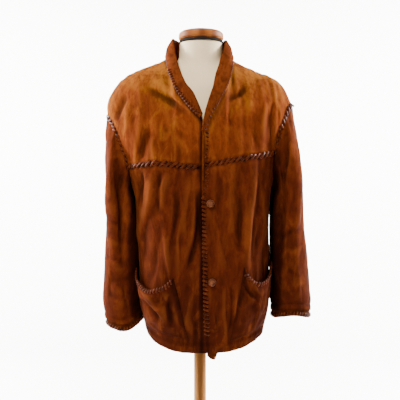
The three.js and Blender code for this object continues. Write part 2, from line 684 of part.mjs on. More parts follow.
/** The yokes' neckline from the right front's tip round the back to the left front's tip. */
function neckline() {
  const pick = (grid, from, to) => {
    const row = grid.points.at(-1);
    const normals = grid.normals.at(-1);
    const list = [];
    for (let c = from; from < to ? c <= to : c >= to; c += from < to ? 1 : -1) {
      list.push({ point: row[c], normal: normals[c] });
    }
    return list;
  };
  const backFrom = halfBackColumns + BACK_NECK_COLUMNS / 2;
  const back = pick(yoke.back, backFrom, backFrom - BACK_NECK_COLUMNS);
  const left = pick(yoke.left, NECK_COLUMNS, 0);
  return [...pick(yoke.right, 0, NECK_COLUMNS), ...back.slice(1), ...left.slice(1)];
}

/** The collar row (a fraction) that belongs to each corner of the neckline. */
function neckRows() {
  const last = COLLAR.length - 1;
  const right = steps(NECK_COLUMNS).map((share) => mix(0, NECK_ROW.right, share));
  const back = steps(BACK_NECK_COLUMNS).map((share) => mix(NECK_ROW.right, NECK_ROW.left, share)).slice(1);
  const left = steps(NECK_COLUMNS).map((share) => mix(NECK_ROW.left, last, share)).slice(1);
  return [...right, ...back, ...left];
}

/** The collar's middle layer: up from the neckline, over the roll and down to its edge. */
function collarSection(sewn, row) {
  const roll = onCollar("roll", row);
  const edge = onCollar("edge", row);
  const up = roll.clone().sub(sewn);
  const rise = up.length();
  up.normalize();
  const out = edge.clone().sub(roll);
  out.addScaledVector(up, -out.dot(up)).normalize();
  const radius = Math.min(COLLAR_TURN, rise * COLLAR_FORM.mostTurn);
  const start = roll.clone().addScaledVector(up, -radius);
  const crown = roll.clone().addScaledVector(out, radius);
  const finish = start.clone().addScaledVector(out, 2 * radius);
  const bulge = COLLAR_FORM.bulge * finish.distanceTo(edge);
  const rest = between(finish, edge, 0.5).addScaledVector(out, bulge);
  const stand = between(sewn, start, COLLAR_FORM.stand);
  return [sewn.clone(), stand, start, crown, finish, rest, edge];
}

function collar() {
  const seam = neckline();
  const rows = neckRows();
  const sections = [];
  const seamInner = [];
  seam.forEach((place, i) => {
    const halves = i < seam.length - 1 ? [0, 0.5] : [0];
    for (const share of halves) {
      const next = seam[Math.min(i + 1, seam.length - 1)];
      const point = between(place.point, next.point, share);
      const normal = between(place.normal, next.normal, share);
      const row = mix(rows[i], rows[Math.min(i + 1, rows.length - 1)], share);
      const middle = point.clone().addScaledVector(normal, -WALL / 2);
      sections.push(collarSection(middle, row));
      seamInner.push({ outer: point, inner: point.clone().addScaledVector(normal, -WALL) });
    }
  });
  const grid = { points: sections, turned: false };
  setNormals([grid]);
  const outer = innerPoints(grid, -WALL / 2);
  const inner = innerPoints(grid, WALL / 2);
  seamInner.forEach((ends, r) => {
    outer[r][0] = ends.outer.clone();
    inner[r][0] = ends.inner.clone();
  });
  return { outer, inner, turned: false };
}

const collarWall = collar();
add(
  "collar",
  wallGeometry(trimmed(collarWall.outer, ["start"]), trimmed(collarWall.inner, ["start"]), collarWall),
  SUEDE,
);

// --------------------------------------------------------------------------- cuffs

/** The last row of a sleeve, moved along the arm and in from its surface. */
function cuffRow(grid, along, inset) {
  const last = grid.points.length - 1;
  return grid.points[last].map((p, c) => {
    const way = p.clone().sub(grid.points[last - 1][c]).normalize();
    return p.clone().addScaledVector(way, along).addScaledVector(grid.normals[last][c], -inset);
  });
}

const cuffs = {};
for (const side of ["right", "left"]) {
  const sleeveGrid = sleeves[side];
  const rows = [-CUFF.above, CUFF.fold, CUFF.below].map((along) =>
    cuffRow(sleeveGrid, along, WALL + LIFT));
  cuffs[side] = { points: rows, closed: true, turned: sleeveGrid.turned };
  setNormals([cuffs[side]]);
  addPanel(`cuff_${side}`, cuffs[side], [], SUEDE_DARK);
}

// ------------------------------------------------------------------------- pockets

/** The row (a fraction) at which a column of a grid passes a height, from the top down. */
function rowAt(grid, column, z) {
  const heights = grid.points.map((_, row) => onGrid(grid, column, row).point.z);
  const below = Math.max(1, heights.findIndex((height) => height < z));
  return below - 1 + (heights[below - 1] - z) / (heights[below - 1] - heights[below]);
}

function pocket(side) {
  const sizes = POCKETS[side];
  const grid = lower[side];
  const lastColumn = grid.points[0].length - 1;
  const rows = steps(POCKET_ROWS).map((down) => steps(POCKET_COLUMNS).map((across) => {
    const skewed = across ** (Math.log(0.5) / Math.log(sizes.sagAt));
    const top = mix(...sizes.top, across) - sizes.sag * Math.sin(Math.PI * skewed);
    const column = mix(mix(...sizes.mouth, across), mix(...sizes.foot, across), down) * lastColumn;
    const place = onGrid(grid, column, rowAt(grid, column, mix(top, mix(...sizes.floor, across), down)));
    const pouch = sizes.pouch * Math.sin(Math.PI * down) ** POUCH_FULLNESS.down;
    const gape = sizes.gape * (1 - down) ** 2;
    const belly = Math.sin(Math.PI * across) ** POUCH_FULLNESS.across;
    return place.point.addScaledVector(place.normal, POCKET_LIFT + WALL + (gape + pouch) * belly);
  }));
  return { points: rows, turned: grid.turned };
}

const pockets = { right: pocket("right"), left: pocket("left") };
for (const side of ["right", "left"]) {
  setNormals([pockets[side]]);
  addPanel(`pocket_${side}`, pockets[side]);
}

// ------------------------------------- the left facing: its turned strip and corner

const SEARCH_STEPS = [0.5, 0.1, 0.02]; // in columns and rows, ever finer

/** The place on a grid that is nearest to a point of the front view. */
function placeAt(grid, x, z) {
  let best = { column: 0, row: 0, off: Infinity };
  const columns = grid.points[0].length - 1;
  const rows = grid.points.length - 1;
  const tryNear = (near, reach, step) => {
    for (let row = Math.max(0, near.row - reach); row <= Math.min(rows, near.row + reach); row += step) {
      const last = Math.min(columns, near.column + reach);
      for (let column = Math.max(0, near.column - reach); column <= last; column += step) {
        const place = onGrid(grid, column, row);
        const off = Math.hypot(place.point.x - x, place.point.z - z);
        if (off < best.off) best = { ...place, column, row, off };
      }
    }
  };
  let reach = columns + rows;
  for (const step of SEARCH_STEPS) {
    tryNear(best, reach, step);
    reach = step;
  }
  return best;
}

/** Places down the left front, at a distance from its edge, between two heights. */
function downFrontEdge(distanceAt, { top, foot, step }) {
  const count = Math.round((top - foot) / step);
  const { points, normals } = yoke.left;
  const downYoke = { points: points.toReversed(), normals: normals.toReversed() };
  return steps(count).map((share) => {
    const z = mix(top, foot, share);
    const grid = z > YOKE_SEAM.left[0] ? yoke.left : lower.left;
    const edge = grid === yoke.left
      ? onGrid(grid, 0, YOKE_ROWS - rowAt(downYoke, 0, z))
      : onGrid(grid, 0, rowAt(grid, 0, z));
    return placeAt(grid, edge.point.x + distanceAt(z), z);
  });
}

{
  const distances = [STRIP.inset, STRIP.wide / 2, STRIP.wide];
  const lines = distances.map((distance) => downFrontEdge(() => distance, STRIP));
  const layer = (out) => lines[0].map((_, i) =>
    lines.map((line) => line[i].point.clone().addScaledVector(line[i].normal, out)));
  add("front_facing_strip", wallGeometry(layer(LIFT + WALL), layer(LIFT), { turned: true }), SUEDE_DARK);
}

{
  const columns = FACING.hangs.length - 1;
  const rows = FACING.above.map((above) => BODY_ROWS - above);
  const layer = (behind) => {
    const grid = rows.map((row) => FACING.hangs.map((_, i) => {
      const place = onGrid(lower.left, mix(...FACING.columns, i / columns), row);
      return place.point.addScaledVector(place.normal, -behind);
    }));
    grid.push(grid.at(-1).map((p, i) => p.clone().add(vec(0, 0, -FACING.hangs[i]))));
    return grid;
  };
  const turned = { turned: true };
  add("facing_corner", wallGeometry(layer(FACING.behind), layer(FACING.behind + WALL), turned), SUEDE_DARK);
}

// ------------------------------------------------------------------------- buttons

BUTTONS.forEach(({ x, z }, i) => {
  const place = placeAt(lower.left, x, z);
  const ball = new THREE.SphereGeometry(BUTTON.radius, BUTTON.sides, BUTTON.rings);
  ball.scale(1, BUTTON.thick / (2 * BUTTON.radius), 1);
  const button = add(`button_${i + 1}`, ball, BUTTON_LEATHER);
  button.quaternion.setFromUnitVectors(vec(0, 1, 0), place.normal);
  button.position.copy(place.point).addScaledVector(place.normal, BUTTON.thick / 2 + LIFT);
});

// -------------------------------------------------------------------------- lacing

/** The corners of a path, and even places between them. */
function spacedAlong(path, spacing, closed) {
  const places = [];
  path.forEach((place, i) => {
    if (i === path.length - 1 && !closed) {
      places.push(place);
      return;
    }
    const next = path[(i + 1) % path.length];
    const count = Math.max(1, Math.round(place.point.distanceTo(next.point) / spacing));
    for (const share of steps(count).slice(0, -1)) {
      const blend = (name) => between(place[name], next[name], share);
      places.push(Object.fromEntries(["point", "normal", "up", "down"].map((name) => [name, blend(name)])));
    }
  });
  return places;
}

/** A start, each whole number after it, and an end. */
function wholeSteps(from, to) {
  const step = Math.sign(to - from);
  const list = [from];
  let next = step > 0 ? Math.floor(from) + 1 : Math.ceil(from) - 1;
  for (; (to - next) * step > 0; next += step) list.push(next);
  return [...list, to];
}

/** A lace over a seam: a low ridge whose crest swings from one side to the other. */
function laceGeometry(path, size, closed = false) {
  const places = spacedAlong(path, size.pitch / 2, closed);
  const half = size.wide / 2;
  const flat = [];
  places.forEach(({ point, normal, up, down }, k) => {
    const foot = point.clone().addScaledVector(normal, LACE_LIFT);
    const upper = foot.clone().addScaledVector(up, half);
    const under = foot.clone().addScaledVector(down, half);
    const side = k % 2 ? upper : under;
    const crest = between(between(upper, under, 0.5), side, LACE_SWING).addScaledVector(normal, size.high);
    for (const p of [upper, foot, under, crest]) flat.push(p.x, p.y, p.z);
  });
  const index = [];
  const count = places.length;
  for (let k = 0; k < (closed ? count : count - 1); k++) {
    for (let side = 0; side < 4; side++) {
      const [a, b] = [4 * k + side, 4 * k + ((side + 1) % 4)];
      const [c, d] = [4 * ((k + 1) % count) + side, 4 * ((k + 1) % count) + ((side + 1) % 4)];
      index.push(a, b, d, a, d, c);
    }
  }
  if (!closed) {
    const last = 4 * (count - 1);
    index.push(0, 3, 1, 1, 3, 2, last, last + 1, last + 3, last + 1, last + 2, last + 3);
  }
  const geometry = new THREE.BufferGeometry();
  geometry.setAttribute("position", new THREE.Float32BufferAttribute(flat, 3));
  const along = places[1].point.clone().sub(places[0].point);
  const turned = along.cross(places[0].up).dot(places[0].normal) > 0;
  geometry.setIndex(turned ? index.toReversed() : index);
  return geometry;
}

const towards = (from, to) => to.clone().sub(from).normalize();

/** The seam between a row of one grid and the row of another that it is sewn to. */
function seamPlace(upper, lowerRow, column) {
  const place = onGrid(upper, column, 0);
  return {
    ...place,
    up: towards(place.point, onGrid(upper, column, 0.5).point),
    down: towards(place.point, lowerRow(column)),
  };
}

function yokeSeam(upper, lowerGrid, from, to, shift = 0) {
  return wholeSteps(from, to).map((at) =>
    seamPlace(upper, (column) => onGrid(lowerGrid, column + shift, 0.5).point, at));
}

const SEAM_END = { corner: 0.7, right: 1.4, left: 1.6, armhole: 0.6 }; // columns or rows left free
const seams = {
  front_yoke_right: yokeSeam(yoke.right, lower.right, SEAM_END.right, frontColumns - SEAM_END.corner),
  front_yoke_left: yokeSeam(yoke.left, lower.left, SEAM_END.left, frontColumns - SEAM_END.corner),
  back_yoke: yokeSeam(
    yoke.back, lower.back, SEAM_END.corner, 2 * halfBackColumns - SEAM_END.corner, SCOOP_COLUMNS,
  ),
};
for (const [name, path] of Object.entries(seams)) add(`lace_${name}`, laceGeometry(path, LACE), LACING);

/** The armhole seam from the front corner over the shoulder to the back corner. */
function armholeSeam(side) {
  const sleeveGrid = sleeves[side];
  const place = (grid, column, inward, row, ring) => {
    const { point, normal } = onGrid(grid, column, row);
    const at = onGrid(sleeveGrid, ring, 0.5).point;
    return { point, normal, up: towards(point, onGrid(grid, inward, row).point), down: towards(point, at) };
  };
  const outerBack = side === "left" ? 0 : 2 * halfBackColumns;
  const innerBack = side === "left" ? 0.5 : 2 * halfBackColumns - 0.5;
  const path = [];
  for (const row of wholeSteps(SEAM_END.armhole, YOKE_ROWS)) {
    path.push(place(yoke[side], frontColumns, frontColumns - 0.5, row, YOKE_ROWS - row));
  }
  const backStart = YOKE_ROWS + 2 * SCOOP_COLUMNS;
  for (const row of wholeSteps(YOKE_ROWS, SEAM_END.armhole).slice(1)) {
    const ring = Math.min(backStart + row, sleeveGrid.points[0].length - 1);
    path.push(place(yoke.back, outerBack, innerBack, row, ring));
  }
  return path;
}
for (const side of ["right", "left"]) {
  add(`lace_armhole_${side}`, laceGeometry(armholeSeam(side), LACE), LACING);
}

/** Adds the directions to both sides of a path that runs over one surface. */
function withSides(path, closed = false) {
  const last = path.length - 1;
  return path.map((place, i) => {
    const before = path[closed ? (i + last) % (last + 1) : Math.max(0, i - 1)].point;
    const after = path[closed ? (i + 1) % (last + 1) : Math.min(last, i + 1)].point;
    const up = after.clone().sub(before).cross(place.normal).normalize();
    return { ...place, up, down: up.clone().negate() };
  });
}

const edgeDistance = (z) => {
  const [above, below] = EDGE_LACE.turnsAt;
  return mix(EDGE_LACE.over, EDGE_LACE.beside, eased((z - below) / (above - below)));
};
add("lace_front_edge", laceGeometry(withSides(downFrontEdge(edgeDistance, EDGE_LACE)), WHIP), LACING);

const collarEdge = collarWall.inner.slice(COLLAR_LACE[0], COLLAR_LACE[1]).map((section, i) => {
  const [free, rest] = [section.at(-1), section.at(-2)];
  const faceOut = free.clone().sub(collarWall.outer[i + COLLAR_LACE[0]].at(-1)).normalize();
  const inset = free.clone().addScaledVector(towards(free, rest), WHIP.wide / 2);
  return { point: inset, normal: faceOut };
});
add("lace_collar", laceGeometry(withSides(collarEdge), WHIP), LACING);

for (const side of ["right", "left"]) {
  const grid = pockets[side];
  const mouth = steps(2 * POCKET_COLUMNS).slice(1, -1).map((share) =>
    onGrid(grid, share * POCKET_COLUMNS, POCKET_LACE_ROW));
  add(`lace_pocket_${side}`, laceGeometry(withSides(mouth), WHIP), LACING);
  const ring = cuffs[side].points[0].map((_, c) => {
    const [, upper, under] = cuffs[side].points;
    const share = (CUFF.lace - CUFF.fold) / (CUFF.below - CUFF.fold);
    return { point: between(upper[c], under[c], share), normal: cuffs[side].normals[1][c] };
  });
  add(`lace_cuff_${side}`, laceGeometry(withSides(ring, true), WHIP, true), LACING);
}

// ---------------------------------------------------------------- the bust form

/** A closed body through rings of points, with a flat top and bottom. */
function loftGeometry(rings) {
  const columns = rings[0].length;
  const flat = rings.flat();
  const middle = (ring) => ring.reduce((sum, p) => sum.add(p), vec(0, 0, 0)).divideScalar(ring.length);
  flat.push(middle(rings[0]), middle(rings.at(-1)));
  const index = [];
  for (let c = 0; c < columns; c++) {
    const d = (c + 1) % columns;
    for (let r = 0; r < rings.length - 1; r++) {
      const [a, b] = [r * columns + c, r * columns + d];
      index.push(a, b, a + columns, b, b + columns, a + columns);
    }
    const last = (rings.length - 1) * columns;
    index.push(flat.length - 2, d, c, flat.length - 1, last + c, last + d);
  }
  const geometry = new THREE.BufferGeometry();
  const positions = flat.flatMap((p) => [p.x, p.y, p.z]);
  geometry.setAttribute("position", new THREE.Float32BufferAttribute(positions, 3));
  geometry.setIndex(index);
  return geometry;
}

/** A ring of the form: its side points, and how far and how high its front and back are. */
function formRing(sides, row) {
  return Array.from({ length: FORM_COLUMNS }, (_, i) => {
    const turn = (2 * Math.PI * i) / FORM_COLUMNS;
    const [aside, ahead] = [Math.cos(turn), Math.sin(turn)];
    const side = sides[aside >= 0 ? "left" : "right"];
    const deep = ahead >= 0 ? row.front : row.back;
    const z = mix(side.z, ahead >= 0 ? row.zFront : row.zBack, Math.abs(ahead) ** FORM_SHOULDER_DROP);
    return vec(FORM_AXIS.x + Math.abs(side.x - FORM_AXIS.x) * aside, FORM_AXIS.y - deep * ahead, z);
  });
}

/** The place just under the jacket's shoulder line, where it rests on the form. */
function underShoulder(side, column) {
  const grid = yoke[side];
  const place = onGrid(grid, NECK_COLUMNS + column, YOKE_ROWS);
  return place.point.addScaledVector(place.normal, -(WALL + LIFT));
}

const even = ({ wide, z }) => ({ left: { x: FORM_AXIS.x + wide, z }, right: { x: FORM_AXIS.x - wide, z } });
const formRings = [
  ...FORM_NECK.map((row) => formRing(even(row), row)),
  ...FORM_SHOULDER.map((row, i) =>
    formRing({ left: underShoulder("left", i + 1), right: underShoulder("right", i + 1) }, row)),
  ...FORM_TORSO.map((row) => formRing(even(row), row)),
];
add("form_torso", loftGeometry(formRings), FORM_CLOTH);

/** Adds a turned piece: its profile is radius and height pairs from the axis to the axis. */
function addTurned(name, profile, material, axis) {
  const corners = profile.map(([radius, z]) => new THREE.Vector2(radius, z));
  const lathe = new THREE.LatheGeometry(corners, TURNED_SIDES);
  add(name, lathe.rotateX(Math.PI / 2), material).position.set(axis.x, axis.y, 0);
}

const roundedRim = steps(4).map((share) => {
  const turn = Math.PI * (share - 0.5);
  const half = (NECK_CAP.z[1] - NECK_CAP.z[0]) / 2 - NECK_CAP.edge;
  const radius = NECK_CAP.radius - NECK_CAP.round * (1 - Math.cos(turn));
  return [radius, NECK_CAP.z[0] + NECK_CAP.edge + half * (1 + Math.sin(turn))];
});
addTurned("neck_band", [
  [0, NECK_BAND.z[0]], [NECK_BAND.radius, NECK_BAND.z[0]],
  [NECK_BAND.radius, NECK_BAND.z[1]], [0, NECK_BAND.z[1]],
], BAND_CLOTH, FORM_AXIS);
addTurned("neck_cap", [
  [0, NECK_CAP.z[0]], [NECK_CAP.radius - NECK_CAP.round, NECK_CAP.z[0]],
  ...roundedRim,
  [NECK_CAP.flat, NECK_CAP.z[1]], [0, NECK_CAP.z[1]],
], WOOD, FORM_AXIS);
const poleTop = FORM_TORSO.at(-1).z - SEAM_GAP;
addTurned("pole", [
  [0, BASE.high + SEAM_GAP], [POLE.radius, BASE.high + SEAM_GAP], [POLE.radius, poleTop], [0, poleTop],
], POLE_WOOD, { x: 0, y: 0 });
addTurned("base", [
  [0, 0], [BASE.radius, 0], [BASE.radius, BASE.high - BASE.chamfer],
  [BASE.radius - BASE.chamfer, BASE.high], [0, BASE.high],
], WOOD, { x: 0, y: 0 });

export default part;
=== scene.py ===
"""A suede jacket with laced seams on a limbless bust form and its wooden stand.

Tables are in millimetres and become metres when a mesh is made. The front faces -Y, so the
wearer's left is at +X. Each panel is a closed wall, sewn edge to edge with its neighbours.
"""

import math
from collections import namedtuple

import bmesh
import bpy
import numpy as np
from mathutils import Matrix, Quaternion, Vector


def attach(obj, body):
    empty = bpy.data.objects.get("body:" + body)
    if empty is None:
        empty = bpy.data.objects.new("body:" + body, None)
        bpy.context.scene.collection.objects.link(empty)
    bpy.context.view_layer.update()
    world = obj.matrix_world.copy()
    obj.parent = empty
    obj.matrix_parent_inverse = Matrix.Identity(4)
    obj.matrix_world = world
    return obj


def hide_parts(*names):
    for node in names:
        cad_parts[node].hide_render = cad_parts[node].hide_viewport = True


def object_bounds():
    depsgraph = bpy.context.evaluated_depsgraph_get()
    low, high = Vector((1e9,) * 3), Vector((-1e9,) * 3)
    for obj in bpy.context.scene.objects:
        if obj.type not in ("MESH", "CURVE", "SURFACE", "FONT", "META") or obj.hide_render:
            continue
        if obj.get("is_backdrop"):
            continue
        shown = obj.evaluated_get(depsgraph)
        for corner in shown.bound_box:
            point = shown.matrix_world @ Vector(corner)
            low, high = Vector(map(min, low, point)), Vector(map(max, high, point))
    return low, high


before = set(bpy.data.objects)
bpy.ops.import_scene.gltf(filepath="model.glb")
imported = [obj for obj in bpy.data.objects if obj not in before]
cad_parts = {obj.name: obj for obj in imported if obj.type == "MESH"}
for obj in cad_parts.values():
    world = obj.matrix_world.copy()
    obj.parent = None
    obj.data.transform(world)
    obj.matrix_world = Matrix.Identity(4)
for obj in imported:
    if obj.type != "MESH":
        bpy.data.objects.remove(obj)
cad_low, cad_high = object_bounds()

# ---------------------------------------------------------------- the wooden stand
# A turned pole on a round base with an eased rim, both in plain waxed hardwood. The pole's
# foot is glued into the base and its top into the form.

MM = 0.001
POLE = {"radius": 17, "foot": 26.3, "top": 853.7}
BASE = {"radius": 170, "high": 26, "ease": 7}
BASE_FOOT = [(7, 0), (1, 0.6), (0, 2)]  # how far inside the rim and how high its corners lie
TURNED_SIDES = 72
POLE_WOOD = {"light": (0.290, 0.125, 0.034), "dark": (0.190, 0.074, 0.018), "rough": (0.69, 0.89)}
BASE_WOOD = {"light": (0.280, 0.105, 0.026), "dark": (0.130, 0.042, 0.010), "rough": (0.40, 0.60)}

# Layers of a finish: as a pattern goes from one strength to another, a tone comes in over
# the tones below it, up to a share.
Layer = namedtuple("Layer", "pattern starts full share tone")
WOOD_LAYERS = [
    Layer("rings", 0.1, 0.9, 1.0, "light"),
    Layer("waver", 0.3, 0.75, 0.55, "dark"),
    Layer("pores", 0.56, 0.72, 0.5, "dark"),
]


def steps(count):
    return np.linspace(0, 1, count + 1)


def piece(name, points, faces, material, crease=None):
    """A smooth mesh from points in millimetres, with painted shade and highlight at each point, from how
    deep it lies in a fold and what lies over it.
    """
    mesh = bpy.data.meshes.new(name)
    mesh.from_pydata((np.asarray(points).reshape(-1, 3) * MM).tolist(), [], faces)
    mesh.shade_smooth()
    mesh.materials.append(material)
    if crease is not None:
        attribute = mesh.attributes.new("crease", "FLOAT", "POINT")
        attribute.data.foreach_set("value", np.asarray(crease, np.float32).ravel())
    made = bpy.data.objects.new(name, mesh)
    bpy.context.scene.collection.objects.link(made)
    return made


def fixed(made, node):
    """The finished piece stands for its solid and goes with the jacket's one body."""
    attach(made, "root")
    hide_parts(node)
    return made


def capped(rings, first, last):
    """Faces over rows of point numbers, closed by a point before them and one after."""
    rings = np.concatenate([rings, rings[:, :1]], 1)
    faces = [(first, b, a) for a, b in zip(rings[0][:-1], rings[0][1:])]
    for low, high in zip(rings[:-1], rings[1:]):
        faces += list(zip(low[:-1], low[1:], high[1:], high[:-1]))
    faces += [(last, a, b) for a, b in zip(rings[-1][:-1], rings[-1][1:])]
    return [tuple(map(int, face)) for face in faces]


def lathe(profile, middle=(0, 0), sides=TURNED_SIDES):
    """Points and faces of a turned shape, from radius and height pairs, axis to axis."""
    turn = 2 * math.pi * np.arange(sides) / sides
    points = [(middle[0], middle[1], profile[0][1])]
    for radius, z in profile[1:-1]:
        ring = [middle[0] + radius * np.cos(turn), middle[1] + radius * np.sin(turn)]
        points += np.stack([*ring, np.full(sides, z)], 1).tolist()
    points.append((middle[0], middle[1], profile[-1][1]))
    rings = np.arange(1, len(points) - 1).reshape(-1, sides)
    return points, capped(rings, 0, len(points) - 1)


def rounded(radius, z, ease, turn_from, turn_to, count=6):
    """The corners of an eased edge whose arc's middle is at a radius and a height."""
    turns = np.radians(turn_from + (turn_to - turn_from) * steps(count))
    return [(radius + ease * math.cos(t), z + ease * math.sin(t)) for t in turns]


class Nodes:
    """A short way to add linked nodes to a tree."""

    def __init__(self, tree):
        self.tree = tree

    def add(self, kind, inputs=None, **settings):
        node = self.tree.nodes.new(kind)
        for key, value in settings.items():
            setattr(node, key, value)
        for key, value in (inputs or {}).items():
            if isinstance(value, bpy.types.NodeSocket):
                self.tree.links.new(value, node.inputs[key])
            else:
                node.inputs[key].default_value = value
        return node

    def mix_colour(self, share, a, b):
        # a mix node's sockets for colours are its inputs 6 and 7 and its output 2
        node = self.add("ShaderNodeMix", {0: share, 6: a, 7: b}, data_type="RGBA")
        return node.outputs[2]

    def ranged(self, value, low, high, to_low=0.0, to_high=1.0):
        inputs = {0: value, 1: low, 2: high, 3: to_low, 4: to_high}
        return self.add("ShaderNodeMapRange", inputs).outputs[0]

    def noise(self, place, scale, detail=2.0, roughness=0.5, distortion=0.0):
        inputs = {"Vector": place, "Scale": scale, "Detail": detail}
        inputs |= {"Roughness": roughness, "Distortion": distortion}
        return self.add("ShaderNodeTexNoise", inputs).outputs["Fac"]

    def bump(self, height, strength, distance, under=None):
        inputs = {"Height": height, "Strength": strength, "Distance": distance}
        if under is not None:
            inputs["Normal"] = under
        return self.add("ShaderNodeBump", inputs).outputs[0]

    def layered(self, base, layers, patterns, tones):
        """The tone of a finish, from its base tone and its layers."""
        tone = rgba(tones[base])
        for layer in layers:
            pattern = patterns[layer.pattern]
            share = self.ranged(pattern, layer.starts, layer.full, to_high=layer.share)
            tone = self.mix_colour(share, tone, rgba(tones[layer.tone]))
        return tone

    def finish(self, shader, tone, relief, even):
        """Gives the shader its tone and relief, and what is even all over the piece."""
        self.tree.links.new(tone, shader.inputs["Base Color"])
        self.tree.links.new(relief, shader.inputs["Normal"])
        for name, value in even.items():
            shader.inputs[name].default_value = value


def new_material(name):
    """An empty material: its nodes, its shader and the place on the object."""
    material = bpy.data.materials.new(name)
    material.use_nodes = True
    nodes = Nodes(material.node_tree)
    shader = material.node_tree.nodes["Principled BSDF"]
    place = nodes.add("ShaderNodeTexCoord").outputs["Object"]
    return material, nodes, shader, place


def rgba(colour):
    return (*colour, 1.0)


def wood(name, tones, stretch):
    """Waxed wood: wavy growth rings, long pores and a soft gloss."""
    material, nodes, shader, place = new_material(name)
    grain = nodes.add("ShaderNodeMapping", {"Vector": place, "Scale": stretch}).outputs[0]
    waver = nodes.noise(grain, scale=3.0, detail=3.0, roughness=0.6, distortion=0.8)
    inputs = {"Vector": grain, "Scale": 9.0, "Distortion": 5.0, "Detail": 3.0}
    rings = nodes.add("ShaderNodeTexWave", inputs, bands_direction="X").outputs["Fac"]
    pores = nodes.noise(grain, scale=60.0, detail=3.0, roughness=0.7)
    patterns = {"rings": rings, "waver": waver, "pores": pores}
    tone = nodes.layered("dark", WOOD_LAYERS, patterns, tones)
    relief = nodes.bump(pores, strength=0.25, distance=0.0004)
    nodes.finish(shader, tone, relief, {"Specular IOR Level": 0.08})
    gloss = nodes.ranged(pores, 0.3, 0.7, *tones["rough"])
    nodes.tree.links.new(gloss, shader.inputs["Roughness"])
    return material


pole_wood = wood("pole_wood", POLE_WOOD, (1.0, 1.0, 0.09))
pole_profile = [(0, POLE["foot"]), (POLE["radius"], POLE["foot"])]
pole_profile += [(POLE["radius"], POLE["top"]), (0, POLE["top"])]
fixed(piece("stand_pole", *lathe(pole_profile), pole_wood), "pole")

base_wood = wood("base_wood", BASE_WOOD, (0.25, 1.0, 1.0))
rim, top = BASE["radius"] - BASE["ease"], BASE["high"] - BASE["ease"]
base_profile = [(0, 0)] + [(BASE["radius"] - inside, z) for inside, z in BASE_FOOT]
base_profile += rounded(rim, top, BASE["ease"], 0, 90) + [(0, BASE["high"])]
fixed(piece("stand_base", *lathe(base_profile), base_wood), "base")

# ----------------------------------------------------------------- the bust form
# A hollow moulded body without arms, padded a little and covered with cream cotton, with a
# black tape round the neck's top and a turned, stained wooden cap screwed on over it.

FORM_MIDDLE = (3, 3)
FORM_COLUMNS = 96
FORM_ROWS = 130
SHOULDER_DROP = 1.6  # how late the shoulders fall to the chest and back
FormRow = namedtuple("FormRow", "side_z wide front back front_z back_z")
FORM = [
    FormRow(1568, 59, 57, 55, 1568, 1568),
    FormRow(1566, 60, 58, 56, 1566, 1566),
    FormRow(1542, 61, 59, 57, 1538, 1545),
    FormRow(1521, 65, 62, 60, 1502, 1522),
    FormRow(1509, 89, 70, 64, 1474, 1492),
    FormRow(1500, 113, 82, 70, 1446, 1466),
    FormRow(1490, 140, 92, 76, 1420, 1440),
    FormRow(1462, 183, 100, 82, 1398, 1416),
    FormRow(1434, 187, 107, 88, 1380, 1394),
    FormRow(1400, 185, 114, 93, 1356, 1366),
    FormRow(1350, 178, 126, 99, 1328, 1330),
    FormRow(1290, 170, 127, 99, 1280, 1280),
    FormRow(1200, 158, 120, 95, 1200, 1200),
    FormRow(1100, 146, 111, 91, 1100, 1100),
    FormRow(1000, 148, 112, 95, 1000, 1000),
    FormRow(920, 146, 118, 103, 920, 920),
    FormRow(872, 142, 116, 102, 872, 872),
    FormRow(854, 128, 102, 90, 854, 854),
]
FORM_COTTON = {"clean": (0.80, 0.62, 0.38), "soiled": (0.60, 0.44, 0.26), "threads": 260.0}
COTTON_LAYERS = [Layer("soil", 0.42, 0.72, 0.6, "soiled")]
NECK_TAPE = {"radius": 60.8, "foot": 1566.6, "top": 1574.9, "thick": 0.8, "edge": 1}
TAPE_BLACK = {"dark": (0.006, 0.005, 0.004), "light": (0.022, 0.018, 0.015)}
NECK_CAP = {"radius": 63, "foot": 1575, "top": 1600, "round": 11, "flat": 6}
CAP_BELLY = {"inside": 2, "above": 8, "round": 8.9}  # the curve from under the cap to its rim
CAP_WOOD = {"light": (0.300, 0.092, 0.016), "dark": (0.150, 0.040, 0.008), "rough": (0.40, 0.60)}


def through(values, shares):
    """A smooth curve through equally spaced values or points, at shares of its length."""
    values = np.asarray(values, float)
    shares = np.asarray(shares, float)
    last = len(values) - 1
    place = np.clip(shares, 0, 1) * last
    i = np.minimum(place.astype(int), last - 1)
    f = (place - i).reshape(shares.shape + (1,) * (values.ndim - 1))
    before, after = values[np.maximum(i - 1, 0)], values[np.minimum(i + 2, last)]
    a, b = values[i], values[i + 1]
    bend = 2 * before - 5 * a + 4 * b - after + f * (3 * (a - b) + after - before)
    return 0.5 * (2 * a + f * (b - before + f * bend))


def around(points, count):
    """A closed ring of points (on the second axis), smoothly taken at more places."""
    padded = np.concatenate([points[:, -2:], points, points[:, :3]], 1)
    places = (2 + np.arange(count) / count * points.shape[1]) / (padded.shape[1] - 1)
    return through(padded.swapaxes(0, 1), places).swapaxes(0, 1)


def form_ring(row):
    turn = 2 * math.pi * np.arange(FORM_COLUMNS) / FORM_COLUMNS
    aside, ahead = np.cos(turn), np.sin(turn)
    deep = np.where(ahead >= 0, row.front, row.back)
    end_z = np.where(ahead >= 0, row.front_z, row.back_z)
    z = row.side_z + (end_z - row.side_z) * np.abs(ahead) ** SHOULDER_DROP
    return np.stack([FORM_MIDDLE[0] + row.wide * aside, FORM_MIDDLE[1] - deep * ahead, z], 1)


